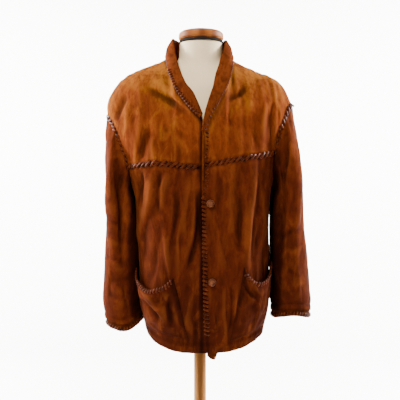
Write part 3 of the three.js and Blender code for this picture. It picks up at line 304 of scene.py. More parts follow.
def cotton(name, tones):
    """Plain-woven cotton, a little soiled, with the weave in its bump."""
    material, nodes, shader, place = new_material(name)
    inputs = {"Vector": place, "Scale": tones["threads"], "Distortion": 0.6}
    warp = nodes.add("ShaderNodeTexWave", inputs, bands_direction="X").outputs["Fac"]
    weft = nodes.add("ShaderNodeTexWave", inputs, bands_direction="Z").outputs["Fac"]
    weave = nodes.add("ShaderNodeMath", {0: warp, 1: weft}).outputs[0]
    soil = nodes.noise(place, scale=9.0, detail=4.0, roughness=0.6)
    tone = nodes.layered("clean", COTTON_LAYERS, {"soil": soil}, tones)
    relief = nodes.bump(weave, strength=0.25, distance=0.0003)
    nodes.finish(shader, tone, relief, {"Roughness": 0.9, "Specular IOR Level": 0.2})
    return material


def black_tape(name, tones):
    """Woven black tape, quite dull."""
    material, nodes, shader, place = new_material(name)
    threads = nodes.noise(place, scale=900.0, detail=2.0, roughness=0.6)
    tone = nodes.mix_colour(threads, rgba(tones["dark"]), rgba(tones["light"]))
    relief = nodes.bump(threads, strength=0.4, distance=0.0003)
    nodes.finish(shader, tone, relief, {"Roughness": 0.95, "Specular IOR Level": 0.05})
    return material


rings = through(np.stack([form_ring(row) for row in FORM]), steps(FORM_ROWS))
ends = [rings[0].mean(0), rings[-1].mean(0)]
numbers = np.arange(rings.shape[0] * FORM_COLUMNS).reshape(rings.shape[:2])
form_faces = capped(numbers, numbers.size, numbers.size + 1)
form_points = np.concatenate([rings.reshape(-1, 3), ends])
form_body = piece("form_body", form_points, form_faces, cotton("form_cotton", FORM_COTTON))
fixed(form_body, "form_torso")

tape_out, tape_in = NECK_TAPE["radius"], NECK_TAPE["radius"] - NECK_TAPE["thick"]
tape_profile = [(0, NECK_TAPE["foot"]), (tape_in, NECK_TAPE["foot"])]
tape_profile.append((tape_out, NECK_TAPE["foot"] + NECK_TAPE["edge"]))
tape_profile.append((tape_out, NECK_TAPE["top"] - NECK_TAPE["edge"]))
tape_profile += [(tape_in, NECK_TAPE["top"]), (0, NECK_TAPE["top"])]
neck_tape = piece("neck_tape", *lathe(tape_profile, FORM_MIDDLE), black_tape("neck_tape", TAPE_BLACK))
fixed(neck_tape, "neck_band")

cap_wood = wood("cap_wood", CAP_WOOD, (1.0, 0.3, 1.0))
rim, top = NECK_CAP["radius"] - NECK_CAP["round"], NECK_CAP["top"] - NECK_CAP["round"]
belly = rim + CAP_BELLY["inside"], NECK_CAP["foot"] + CAP_BELLY["above"], CAP_BELLY["round"]
cap_profile = [(0, NECK_CAP["foot"]), (rim + NECK_CAP["flat"], NECK_CAP["foot"])]
cap_profile += rounded(*belly, -60, 0, count=4)[1:]
cap_profile += rounded(rim, top, NECK_CAP["round"], 12, 90, count=8) + [(0, NECK_CAP["top"])]
fixed(piece("neck_cap_wood", *lathe(cap_profile, FORM_MIDDLE), cap_wood), "neck_cap")


# ------------------------------------------ the jacket's body: fronts, back and yokes
# Six panels of heavy napped suede. Two front yokes and a back yoke, cut in one with the
# shoulders, lie on the form, and two fronts and a back are laced to them and hang. The left
# front laps over the right one, and each hem is turned up and glued, and seen as a ridge.

WALL = 1.8
FINE = 7  # rows and columns of the finished wall for each of the cut's
BODY_TABLE = {
    "z": [1270, 1216, 1150, 1090, 1000, 900, 850, 790, 720],
    "right": [208, 201, 183, 175, 171, 166, 160, 151, 136],
    "left": [208, 205, 195, 191, 190, 190, 187, 178, 161],
    "front": [137, 140, 147, 152, 157, 159, 157, 151, 141],
    "back": [123, 127, 131, 135, 139, 141, 140, 136, 128],
}
SQUARENESS = 0.1
CORNER_ANGLE = 64
YOKE_SEAM = {
    "right": [1215, 1219, 1226, 1222, 1217],
    "left": [1222, 1230, 1241, 1250, 1255],
    "back": [1262, 1261, 1257, 1251, 1246],
}
UNDERARM = {"right": 1152, "left": 1162}
HEM = {"front": 731, "back": 742, "side": 787, "roundness": 3.2}
BODY_TURN_UP = {"wide": 21, "ridge": 1.4, "dip_at": 3}
TURN_UP_EDGE = 4  # over which a turned-up end rises
BODY_LENGTH = 490
FRONT_EDGE = {
    "z": [1330, 1216, 1140, 900, 800, 730],
    "left": [6, 5, 5, 9, 12, 15],
    "right": [9, 12, 38, 38, 24, 24],
}
UNDERLAP = {"start": -18, "full": -3, "depth": 3.4}
NECK_COLUMNS = 5
SHOULDER_COLUMNS = 9
BACK_NECK_COLUMNS = 6
SCOOP_COLUMNS = 3
BODY_ROWS = 12
FRONT_COLUMNS = NECK_COLUMNS + SHOULDER_COLUMNS
HALF_BACK = SHOULDER_COLUMNS + BACK_NECK_COLUMNS // 2
FOLD_FADE = {"torso": 45, "sleeve": 50}  # folds fade where the wall turns to the side
FOLD_SHAPE = {"high": 1.15, "wide": 0.85, "lean": 0.45, "fullness": 0.7}
FOLD_WANDER = {"share": 0.3, "bends": 5, "shift": 2.4}  # shift from one fold to the next
CREASE_DEPTH = 3.0  # below its surroundings, where the painted shade is at its darkest
CREASE_REACH = 6  # rows and columns that count as a place's surroundings
SEAM_GAP = 0.12  # how far a sewn edge is drawn back
WELD_STEPS = 20  # in a millimetre: neighbours' points on the same step are one

# Swells: soft waves all over a panel, their height and their lengths across and down.
Swell = namedtuple("Swell", "high across along seed")
SWELL_WAVES = {"count": 16, "reach": (0.6, 1.7), "deep": 0.6, "shift": 6.3}
TORSO_SWELLS = [Swell(0.9, 46, 110, 3), Swell(0.55, 17, 70, 4)]

# Folds: the two ends of a line in the front view, how far the wall stands out or sinks in
# there, the half width, and how far the line bows to the wearer's left.
Fold = namedtuple("Fold", "x z out wide bow", defaults=(0,))
FRONT_FOLDS = [
    Fold((-128, -163), (1208, 1010), 8, 15, 5),
    Fold((-83, -104), (1206, 1100), 6, 13, -4),
    Fold((-106, -118), (1212, 1080), -4, 9, 4),
    Fold((-68, -72), (1160, 985), -7, 11, 5),
    Fold((-50, -58), (1085, 930), 6, 12, -3),
    Fold((-3, -28), (1160, 945), -13, 13, 6),
    Fold((-28, -44), (1200, 1020), 3.5, 10, 3),
    Fold((-146, -152), (1090, 960), -4, 9, 2),
    Fold((-160, -152), (1212, 1115), -8, 12),
    Fold((-92, -78), (1050, 900), 3.5, 11, 4),
    Fold((-112, -128), (1010, 905), -3.5, 10),
    Fold((-30, -36), (900, 770), 4, 14, 4),
    Fold((-8, -14), (880, 745), -3, 8),
    Fold((-62, -24), (820, 752), -2.5, 9),
    Fold((143, 114), (1244, 950), 10, 16, 8),
    Fold((167, 159), (1170, 1000), 6, 12, 3),
    Fold((104, 112), (1160, 985), -9, 12, -3),
    Fold((84, 74), (1226, 1040), 4.5, 12, 4),
    Fold((58, 54), (1220, 1090), -3.5, 9, -3),
    Fold((128, 138), (1120, 965), -4, 9, 4),
    Fold((46, 66), (1060, 925), 3, 12),
    Fold((152, 150), (1080, 985), -4, 8),
    Fold((62, 66), (912, 765), 4, 8, 2),
    Fold((82, 78), (918, 790), -4.5, 7, 2),
    Fold((98, 90), (925, 800), 3, 7),
    Fold((42, 48), (870, 760), -3, 8),
    Fold((-150, 2), (1438, 1338), -9, 12, 0),
    Fold((-118, -26), (1452, 1378), 3.5, 11, 0),
    Fold((-96, -30), (1330, 1290), -2.5, 14, 0),
    Fold((-150, -156), (1332, 1222), -8, 13, -4),
    Fold((-124, -120), (1300, 1222), 3, 10, 0),
    Fold((-60, -52), (1290, 1222), -2.5, 12, 0),
    Fold((-205, -229), (1420, 1338), -6, 12, 5),
    Fold((-190, -206), (1400, 1300), 3.5, 10, 0),
    Fold((128, 76), (1434, 1388), -7, 11, 0),
    Fold((148, 96), (1402, 1344), 3, 12, 0),
    Fold((202, 190), (1395, 1256), -8, 12, -6),
    Fold((178, 168), (1400, 1290), 4, 12, -4),
    Fold((150, 150), (1330, 1256), -3, 11, 0),
    Fold((86, 110), (1330, 1240), 2.5, 14, 0),
    Fold((44, 60), (1318, 1228), -2.5, 11, 0),
    Fold((218, 214), (1400, 1330), 4, 8, 0),
]
BACK_FOLDS = [
    Fold((-120, -138), (1240, 960), 9, 18, -6),
    Fold((-78, -86), (1215, 900), -7, 15, 5),
    Fold((-34, -30), (1250, 1010), 5, 16, -4),
    Fold((28, 22), (1180, 860), -6, 16, 6),
    Fold((80, 74), (1240, 930), 7, 16, -5),
    Fold((132, 148), (1235, 985), -8, 15, 4),
    Fold((-100, -92), (900, 765), 4, 14, 0),
    Fold((110, 118), (930, 775), 5, 16, 3),
    Fold((-54, -60), (1120, 960), 3, 10, 0),
    Fold((54, 46), (1090, 900), 3, 12, 0),
    Fold((-10, 4), (960, 790), 3, 12, 0),
    Fold((60, 70), (880, 760), -3, 12, 0),
    Fold((-136, -40), (1420, 1345), -5, 15, 0),
    Fold((140, 52), (1410, 1340), -5, 15, 0),
    Fold((-188, -176), (1400, 1262), -6, 14, 5),
    Fold((190, 176), (1395, 1262), -6, 14, -5),
    Fold((-90, -30), (1330, 1290), 3, 14, 0),
    Fold((20, 90), (1300, 1330), 3, 14, 0),
    Fold((-150, -146), (1330, 1256), 3, 12, 0),
    Fold((120, 126), (1320, 1256), 3, 12, 0),
]
SUEDE = {
    "golden": (0.125, 0.0265, 0.0046),
    "middle": (0.072, 0.0122, 0.0028),
    "deep": (0.034, 0.0054, 0.0016),
    "crease": (0.0050, 0.0009, 0.0004),
    "worn": (0.180, 0.0480, 0.0090),
}
# The clouds pattern rises with height, so the suede turns golden higher up: partly sun fading, partly
# painted light from above. The folds pattern is the crease attribute: painted shade in hollows, beside
# seams and under overlapping parts, and on ridges a painted highlight that is partly wear.
SUEDE_LAYERS = [
    Layer("clouds", -0.1, 0.5, 1.0, "middle"),
    Layer("clouds", 0.55, 1.05, 1.0, "golden"),
    Layer("patches", 0.47, 0.68, 0.72, "deep"),
    Layer("patches", 0.47, 0.28, 0.60, "golden"),
    Layer("strokes", 0.48, 0.75, 0.60, "deep"),
    Layer("folds", -0.1, -1.4, 0.62, "crease"),
    Layer("folds", -1.4, -3.4, 0.85, "crease"),
    Layer("folds", 0.15, 1.2, 0.30, "worn"),
    # the nap's fine specks take the darkest tone too; they are the suede's own
    Layer("nap", 0.35, 0.75, 0.30, "crease"),
]
SUEDE_EVEN = {
    "Roughness": 0.93,
    "Specular IOR Level": 0.02,
    "Sheen Weight": 0.01,
    "Sheen Roughness": 0.4,
    "Sheen Tint": (0.9, 0.42, 0.12, 1.0),
}
SIDES = {"right": -1, "left": 1}  # which way each side lies along X


def eased(value):
    share = np.clip(value, 0, 1)
    return share * share * (3 - 2 * share)


def mix(a, b, share):
    return a + (b - a) * share


def from_table(table, column, z):
    """One column of a table of sections, smoothly between its rows."""
    heights = -np.asarray(table["z"], float)
    place = np.interp(-np.asarray(z, float), heights, np.arange(len(heights)))
    return through(table[column], place / (len(heights) - 1))


def body_point(angle, z):
    """A point of the body's plan section: 0 degrees is the front, 90 the left side."""
    turn = np.radians(angle)
    aside, ahead = np.sin(turn), np.cos(turn)
    fuller = 1 + SQUARENESS * np.sin(2 * turn) ** 2
    right, left, front, back = (
        from_table(BODY_TABLE, column, z) for column in ("right", "left", "front", "back")
    )
    wide, deep = np.where(aside >= 0, left, right), np.where(ahead >= 0, front, back)
    return np.stack([aside * wide * fuller, -ahead * deep * fuller, z + 0 * turn], -1)


def hem_height(angle):
    turn = np.radians(angle)
    middle = np.where(np.cos(turn) >= 0, HEM["front"], HEM["back"])
    return mix(middle, HEM["side"], np.abs(np.sin(turn)) ** HEM["roundness"])


hem_seam = 1 - BODY_TURN_UP["wide"] / BODY_LENGTH
body_shares = np.append(steps(BODY_ROWS - 1) * hem_seam, 1)[:, None]


def top_heights(seam, columns, underarm):
    """Height of a panel's top edge from the yoke seam's inner end down to the underarm."""
    along = through(YOKE_SEAM[seam], steps(columns))
    scoop = np.sin(steps(SCOOP_COLUMNS)[1:] * math.pi / 2)
    return np.concatenate([along, mix(along[-1], underarm, scoop)])


def half_angles(columns):
    """Shares of the way to the corner, and from the corner to the side, of each column."""
    at = np.arange(columns + SCOOP_COLUMNS + 1)
    return np.minimum(1, at / columns), np.maximum(0, at - columns) / SCOOP_COLUMNS


def lower_front(side):
    sign = SIDES[side]
    top = top_heights(side, FRONT_COLUMNS, UNDERARM[side])
    inner, past = half_angles(FRONT_COLUMNS)
    guess = mix(top, HEM["front"], body_shares)
    edge = from_table(FRONT_EDGE, side, guess)
    start = np.degrees(np.arcsin(edge / from_table(BODY_TABLE, "left", guess))) * sign
    angle = sign * mix(mix(start, CORNER_ANGLE, inner), 90, past)
    points = body_point(angle, mix(top, hem_height(angle), body_shares))
    if side == "right":
        share = eased((points[..., 0] - UNDERLAP["start"]) / (UNDERLAP["full"] - UNDERLAP["start"]))
        points[..., 1] += UNDERLAP["depth"] * share
    return points


def lower_back():
    halves = {}
    for side, sign in SIDES.items():
        top = top_heights("back", HALF_BACK, UNDERARM[side])
        inner, past = half_angles(HALF_BACK)
        angle = sign * (180 - mix(mix(0, CORNER_ANGLE, inner), 90, past))
        halves[side] = body_point(angle, mix(top, hem_height(angle), body_shares))
    return np.concatenate([halves["left"][:, ::-1], halves["right"][:, 1:]], 1)


def finer(points, closed=False):
    """The same surface with more rows and columns."""
    rows = through(points, steps((len(points) - 1) * FINE))
    if closed:
        return around(rows, rows.shape[1] * FINE)
    columns = through(rows.swapaxes(0, 1), steps((points.shape[1] - 1) * FINE))
    return columns.swapaxes(0, 1)


def length_of(vectors):
    return np.linalg.norm(vectors, axis=-1, keepdims=True)


def share_normals(grids):
    """Normals of grids of points; grids that share points along a seam share them there."""
    sums = []
    for grid in grids:
        p = grid["points"]
        if grid.get("closed"):
            p = np.concatenate([p, p[:, :1]], 1)
        face = np.cross(p[1:, 1:] - p[:-1, :-1], p[1:, :-1] - p[:-1, 1:])
        face = face * (-1 if grid["turned"] else 1)
        total = np.zeros_like(p)
        for rows in (slice(0, -1), slice(1, None)):
            for columns in (slice(0, -1), slice(1, None)):
                total[rows, columns] += face
        if grid.get("closed"):
            total[:, 0] += total[:, -1]
            total = total[:, :-1]
        sums.append(total.reshape(-1, 3))
    everything = np.concatenate([grid["points"].reshape(-1, 3) for grid in grids])
    places = np.round(everything * WELD_STEPS).astype(int)
    _, which = np.unique(places, axis=0, return_inverse=True)
    welded = np.zeros((which.max() + 1, 3))
    np.add.at(welded, which.ravel(), np.concatenate(sums))
    welded /= np.linalg.norm(welded, axis=1, keepdims=True) + 1e-12
    at = 0
    for grid in grids:
        count = grid["points"][..., 0].size
        grid["normals"] = welded[which.ravel()[at:at + count]].reshape(grid["points"].shape)
        at += count


def fold_height(points, folds):
    """How far a table of folds moves points of the wall out."""
    x, z = points[..., 0], points[..., 2]
    height = np.zeros(x.shape)
    for number, fold in enumerate(folds):
        along = np.array([fold.x[1] - fold.x[0], fold.z[1] - fold.z[0]], float)
        length = np.linalg.norm(along)
        along /= length
        down = ((x - fold.x[0]) * along[0] + (z - fold.z[0]) * along[1]) / length
        inside = np.sin(math.pi * np.clip(down, 0, 1))
        aside = (x - fold.x[0]) * -along[1] + (z - fold.z[0]) * along[0] - fold.bow * inside
        wander = np.sin(FOLD_WANDER["bends"] * down + FOLD_WANDER["shift"] * number)
        aside -= FOLD_WANDER["share"] * fold.wide * wander
        steeper = FOLD_SHAPE["lean"] * np.tanh(2 * aside / fold.wide) * (1 if number % 2 else -1)
        off = aside / (FOLD_SHAPE["wide"] * fold.wide * (1 + steeper))
        full = inside ** FOLD_SHAPE["fullness"]
        height += FOLD_SHAPE["high"] * fold.out * full * np.exp(-(off**2))
    return height


def uneven(points, swells):
    """How far soft waves, longer down the hide than across it, move points out."""
    total = 0
    for swell in swells:
        rng = np.random.default_rng(swell.seed)
        height = 0
        for _ in range(SWELL_WAVES["count"]):
            heading = rng.uniform(0, 2 * math.pi)
            reach = rng.uniform(*SWELL_WAVES["reach"])
            aside, ahead = math.cos(heading), SWELL_WAVES["deep"] * math.cos(heading + 1)
            wave = np.array([aside / swell.across, ahead / swell.across, math.sin(heading) / swell.along])
            shift = rng.uniform(0, SWELL_WAVES["shift"])
            height = height + np.sin(points @ (wave * 2 * math.pi / reach) + shift)
        total = total + swell.high * height / math.sqrt(SWELL_WAVES["count"])
    return total


def hollows(relief, closed=False):
    """How far each place of a wall stands out from its surroundings, in CREASE_DEPTH: the source of its
    painted shade and highlight.
    """
    past = 3 * CREASE_REACH
    weights = np.exp(-((np.arange(-past, past + 1) / CREASE_REACH) ** 2))
    weights /= weights.sum()

    def blurred(values, mode):
        padded = np.pad(values, ((0, 0), (past, past)), mode)
        return np.stack([np.convolve(row, weights, "valid") for row in padded])

    around_it = blurred(relief, "wrap" if closed else "edge")
    return (relief - blurred(around_it.T, "edge").T) / CREASE_DEPTH


def folded_torso(points):
    front = points[..., 1] < 0
    share = eased(np.abs(points[..., 1]) / FOLD_FADE["torso"])
    folds = np.where(front, fold_height(points, FRONT_FOLDS), fold_height(points, BACK_FOLDS))
    return folds * share + uneven(points, TORSO_SWELLS)


def suede(name, tones, height):
    """Napped suede: brushed patches, golden higher up and darker low down, partly fading and partly
    painted light from above, with painted shade in folds and a painted highlight, partly wear, on ridges.
    """
    material, nodes, shader, place = new_material(name)
    height_on = nodes.add("ShaderNodeSeparateXYZ", {"Vector": place}).outputs["Z"]
    brushed = nodes.add("ShaderNodeMapping", {"Vector": place, "Scale": (1.0, 1.0, 0.42)}).outputs[0]
    clouds = nodes.noise(brushed, scale=8.0, detail=4.0, roughness=0.6, distortion=0.5)
    patches = nodes.noise(brushed, scale=34.0, detail=4.0, roughness=0.62, distortion=0.7)
    strokes = nodes.noise(brushed, scale=130.0, detail=3.0, roughness=0.6, distortion=0.5)
    nap = nodes.noise(place, scale=900.0, detail=3.0, roughness=0.65)
    # Painted light from above, partly sun fading: from the middle tone to golden between the two heights
    # given, over cloudy patches.
    grade = nodes.ranged(height_on, *height)
    shift = nodes.ranged(clouds, 0.3, 0.7, -0.36, 0.36)
    graded = nodes.add("ShaderNodeMath", {0: grade, 1: shift}).outputs[0]
    # the crease attribute: painted shade in hollows and under other parts, painted highlight on ridges
    folds = nodes.add("ShaderNodeAttribute", attribute_name="crease").outputs["Fac"]
    patterns = {"clouds": graded, "patches": patches, "strokes": strokes, "folds": folds, "nap": nap}
    tone = nodes.layered("deep", SUEDE_LAYERS, patterns, tones)
    relief = nodes.bump(patches, strength=0.6, distance=0.0020)
    relief = nodes.bump(strokes, strength=0.6, distance=0.0009, under=relief)
    relief = nodes.bump(nap, strength=0.5, distance=0.0004, under=relief)
    nodes.finish(shader, tone, relief, SUEDE_EVEN)
    return material


def wall(outer, inner, closed=False, turned=False):
    """Faces of a closed wall between an outer and an inner layer of points."""
    index = np.arange(2 * outer[..., 0].size).reshape(2, *outer.shape[:2])
    if closed:
        index = np.concatenate([index, index[:, :, :1]], 2)

    def quads(a):
        return np.stack([a[:-1, :-1], a[:-1, 1:], a[1:, 1:], a[1:, :-1]], -1).reshape(-1, 4)

    faces = [quads(index[0]), quads(index[1])[:, ::-1], quads(index[::-1, 0]), quads(index[:, -1])]
    if not closed:
        faces += [quads(index[:, :, 0]), quads(index[::-1, :, -1])]
    faces = np.concatenate(faces)
    return (faces[:, ::-1] if turned else faces).tolist()


def drawn_back(layer, sewn):
    """Draws the sewn edges of a layer of points back a little."""
    layer = layer.copy()
    for edge in sewn:
        lines = layer if edge in ("top", "bottom") else layer.swapaxes(0, 1)
        at, inward = (0, 1) if edge in ("top", "start") else (-1, -2)
        pull = lines[inward] - lines[at]
        lines[at] += pull * SEAM_GAP / length_of(pull)
    return layer


def cut_of(points):
    """Width, length and area of the flat cut of a panel, in metres."""
    wide = np.linalg.norm(np.diff(points, axis=1), axis=-1).sum(1).max()
    long = np.linalg.norm(np.diff(points, axis=0), axis=-1).sum(0).max()
    face = np.cross(points[1:, 1:] - points[:-1, :-1], points[1:, :-1] - points[:-1, 1:])
    return wide * MM, long * MM, np.linalg.norm(face, axis=-1).sum() / 2 * MM * MM


def panel(name, node, grid, sewn, material):
    """A panel of suede whose outer face is the grid."""
    outer = drawn_back(grid["points"], sewn)
    inner = drawn_back(grid["points"] - grid["normals"] * WALL, sewn)
    faces = wall(outer, inner, grid.get("closed", False), grid["turned"])
    crease = np.stack([grid["crease"], grid["crease"]])
    made = piece(name, np.stack([outer, inner]), faces, material, crease)
    fixed(made, node)


YOKE_ROWS = 9

# The line over each shoulder where front and back yokes meet, from the neck outwards and
# down to the top of the dropped armhole.
SHOULDER = {
    "right": [
        (-82, 3, 1530), (-112, 4, 1516), (-171, 5, 1494), (-216, 5, 1472), (-235, 4, 1449),
        (-249, 3, 1427), (-258, 2, 1404), (-260, 1, 1382), (-257, 0, 1362),
    ],
    "left": [
        (78, 3, 1530), (101, 4, 1516), (148, 5, 1494), (207, 5, 1472), (232, 4, 1449),
        (244, 3, 1427), (252, 2, 1408), (256, 1, 1396),
    ],
}

# The collar, section by section from its right tip round the neck to its left tip: where
# it is sewn to the neckline, where it rolls over, and its free edge.
CollarRow = namedtuple("CollarRow", "sewn roll edge")
COLLAR = [
    CollarRow((5, -138, 1350), (8, -141, 1356), (-1, -145, 1344)),
    CollarRow((-24, -131, 1394), (-16, -135, 1408), (-37, -137, 1384)),
    CollarRow((-50, -110, 1430), (-40, -113, 1443), (-65, -118, 1424)),
    CollarRow((-67, -85, 1470), (-56, -81, 1486), (-81, -93, 1464)),
    CollarRow((-77, -53, 1503), (-66, -42, 1532), (-91, -56, 1502)),
    CollarRow((-82, 3, 1530), (-73, 2, 1580), (-96, 3, 1532)),
    CollarRow((-64, 52, 1517), (-57, 54, 1583), (-82, 72, 1521)),
    CollarRow((-2, 73, 1521), (-2, 76, 1587), (-2, 102, 1514)),
    CollarRow((61, 52, 1516), (54, 54, 1581), (78, 72, 1519)),
    CollarRow((78, 3, 1530), (70, 2, 1576), (91, 3, 1532)),
    CollarRow((74, -53, 1502), (60, -42, 1534), (90, -57, 1503)),
    CollarRow((64, -86, 1467), (45, -80, 1478), (84, -93, 1468)),
    CollarRow((49, -113, 1427), (34, -114, 1430), (70, -118, 1424)),
    CollarRow((24, -136, 1376), (14, -144, 1370), (38, -145, 1364)),
    CollarRow((11, -141, 1340), (8, -147, 1336), (24, -149, 1334)),
    CollarRow((6, -142, 1312), (5, -147, 1310), (17, -149, 1308)),
]
NECK_ROW = {"right": 5, "left": 9}
SHOULDER_PLACES = 400
YOKE_START = {"aside": 0.3, "ahead": 0.05, "ahead_at_corner": 0.15}
NECK_PULL = {"front": (0, 0.1, 1), "back": (0, -0.9, 0.4), "fullness": 0.8}
SHOULDER_END = {"aside": 0.35, "up": 0.3}
SEAM = {"dip": 1.5, "dip_wide": 4.5, "swell": 1.3, "swell_at": 12, "swell_wide": 7}

# Ripples along a gathered edge: their height and length, and how they crowd and spread.
Ripple = namedtuple("Ripple", "high long sway sway_long", defaults=(0, 1))
GATHERS = {"high": 0.9, "below": 42, "above": 13}
SEAM_RIPPLES = [Ripple(1, 3.1, 2, 29), Ripple(0.8, 5.3, 1.3, 17)]
# Painted shade, as how dark and how wide: beside each laced seam, under the right side of the collar's
# rim, where the left front laps over the right, and beside the left front's edge lacing.
SEAM_SHADE = {"above": 0.8, "below": 1.9, "sleeve": 1.1, "wide": 9}
COLLAR_SHADE = {"deep": 2.6, "wide": 8, "pressed": 22, "places": 60}
LAP_SHADE = {"at": 4, "deep": 3.0, "wide": 5.5}
EDGE_SHADE = {"above": 12, "below": 5, "deep": 1.3, "wide": 5}
BUTTON_PLACES = [(27, 1120), (31, 917)]
DIMPLE = {"deep": 3.2, "wide": 15}


def on_collar(line, row):
    table = [getattr(section, line) for section in COLLAR]
    return through(table, np.asarray(row, float) / (len(COLLAR) - 1))


def evenly(points, count):
    """Places at equal distances along a smooth curve."""
    dense = through(points, steps(SHOULDER_PLACES))
    far = np.append(0, np.cumsum(np.linalg.norm(np.diff(dense, axis=0), axis=1)))
    at = steps(count) * far[-1]
    return np.stack([np.interp(at, far, dense[:, axis]) for axis in range(3)], 1)


def neck_rows(side, count):
    tip = 0 if side == "right" else len(COLLAR) - 1
    return mix(tip, NECK_ROW[side], steps(count))


def spanned(start, start_pull, end, end_pull, count):
    """Rows of points from one edge to another, which leave and arrive as they are pulled."""
    f = steps(count)[:, None, None]
    long = length_of(end - start)
    rising = start * (2 * f**3 - 3 * f**2 + 1) + start_pull * long * (f**3 - 2 * f**2 + f)
    return rising + end * (3 * f**2 - 2 * f**3) + end_pull * long * (f**3 - f**2)


def yoke_start(sign, edge, ahead):
    lean = ahead * (YOKE_START["ahead"] + YOKE_START["ahead_at_corner"] * edge)
    return np.stack([sign * YOKE_START["aside"] * edge, lean, np.ones_like(edge)], 1)


def shoulder_pull(sign, share, ahead):
    aside = sign * SHOULDER_END["aside"] * share**2
    return np.stack([aside, ahead + 0 * share, SHOULDER_END["up"] * share**2], 1)


shoulder = {side: evenly(SHOULDER[side], SHOULDER_COLUMNS) for side in SIDES}


def front_yoke(side, foot):
    column = np.arange(FRONT_COLUMNS + 1)
    neckline = on_collar("sewn", neck_rows(side, NECK_COLUMNS))
    end = np.concatenate([neckline[:-1], shoulder[side]])
    neck = np.minimum(1, column / NECK_COLUMNS)[:, None]
    share = np.maximum(0, column - NECK_COLUMNS) / SHOULDER_COLUMNS
    pull = mix(np.array(NECK_PULL["front"]), shoulder_pull(SIDES[side], share, 1), neck)
    pull = pull * mix(NECK_PULL["fullness"], 1, share)[:, None]
    start_pull = yoke_start(SIDES[side], (column / FRONT_COLUMNS) ** 3, 1)
    return spanned(foot, start_pull, end, pull, YOKE_ROWS)


def back_yoke(foot):
    column = np.arange(2 * HALF_BACK + 1)
    rows = mix(NECK_ROW["left"], NECK_ROW["right"], steps(BACK_NECK_COLUMNS))
    end = [shoulder["left"][::-1][:-1], on_collar("sewn", rows), shoulder["right"][1:]]
    away = np.abs(column - HALF_BACK)
    sign = np.where(column < HALF_BACK, 1, -1)
    share = np.maximum(0, away - BACK_NECK_COLUMNS / 2) / SHOULDER_COLUMNS
    neck = np.minimum(1, away / (BACK_NECK_COLUMNS / 2))[:, None]
    pull = mix(np.array(NECK_PULL["back"]), shoulder_pull(sign, share, -1), neck)
    start_pull = yoke_start(sign, (away / HALF_BACK) ** 3, -1)
    return spanned(foot, start_pull, np.concatenate(end), pull, YOKE_ROWS)


def far_from(points, edge):
    """How far each point of a grid is from one of its edges, along the grid."""
    axis = 0 if edge in ("top", "bottom") else 1
    length = np.linalg.norm(np.diff(points, axis=axis), axis=-1)
    first = np.zeros_like(points[:1, :, 0] if axis == 0 else points[:, :1, 0])
    if edge in ("bottom", "end"):
        far = np.cumsum(np.flip(length, axis), axis)
        return np.flip(np.concatenate([first, far], axis), axis)
    return np.concatenate([first, np.cumsum(length, axis)], axis)


def seam_relief(far):
    """A laced seam pulls the walls' edges in, and they swell beside it."""
    dip = SEAM["dip"] * np.exp(-((far / SEAM["dip_wide"]) ** 2))
    return SEAM["swell"] * np.exp(-(((far - SEAM["swell_at"]) / SEAM["swell_wide"]) ** 2)) - dip


def gathers(place, ripples, high, far, reach):
    """Little uneven ripples that die away from a gathered edge."""
    waves = 0
    for ripple in ripples:
        sway = ripple.sway * np.sin(place / ripple.sway_long)
        waves = waves + ripple.high * np.sin(place / ripple.long + sway)
    return high * waves * np.exp(-far / reach)


def turn_up(sizes, from_end):
    """A turned-up end stands out as a ridge, with a dip beyond it."""
    raised = sizes["ridge"] * eased((sizes["wide"] - from_end) / TURN_UP_EDGE + 0.5)
    beyond = (from_end - sizes["wide"] - sizes["dip_at"]) / TURN_UP_EDGE
    return raised - sizes["ridge"] * np.exp(-(beyond**2))


cut = {side: lower_front(side) for side in SIDES}
cut["back"] = lower_back()
yoke_cut = {side: front_yoke(side, cut[side][0, : FRONT_COLUMNS + 1]) for side in SIDES}
yoke_cut["back"] = back_yoke(cut["back"][0, SCOOP_COLUMNS : SCOOP_COLUMNS + 2 * HALF_BACK + 1])

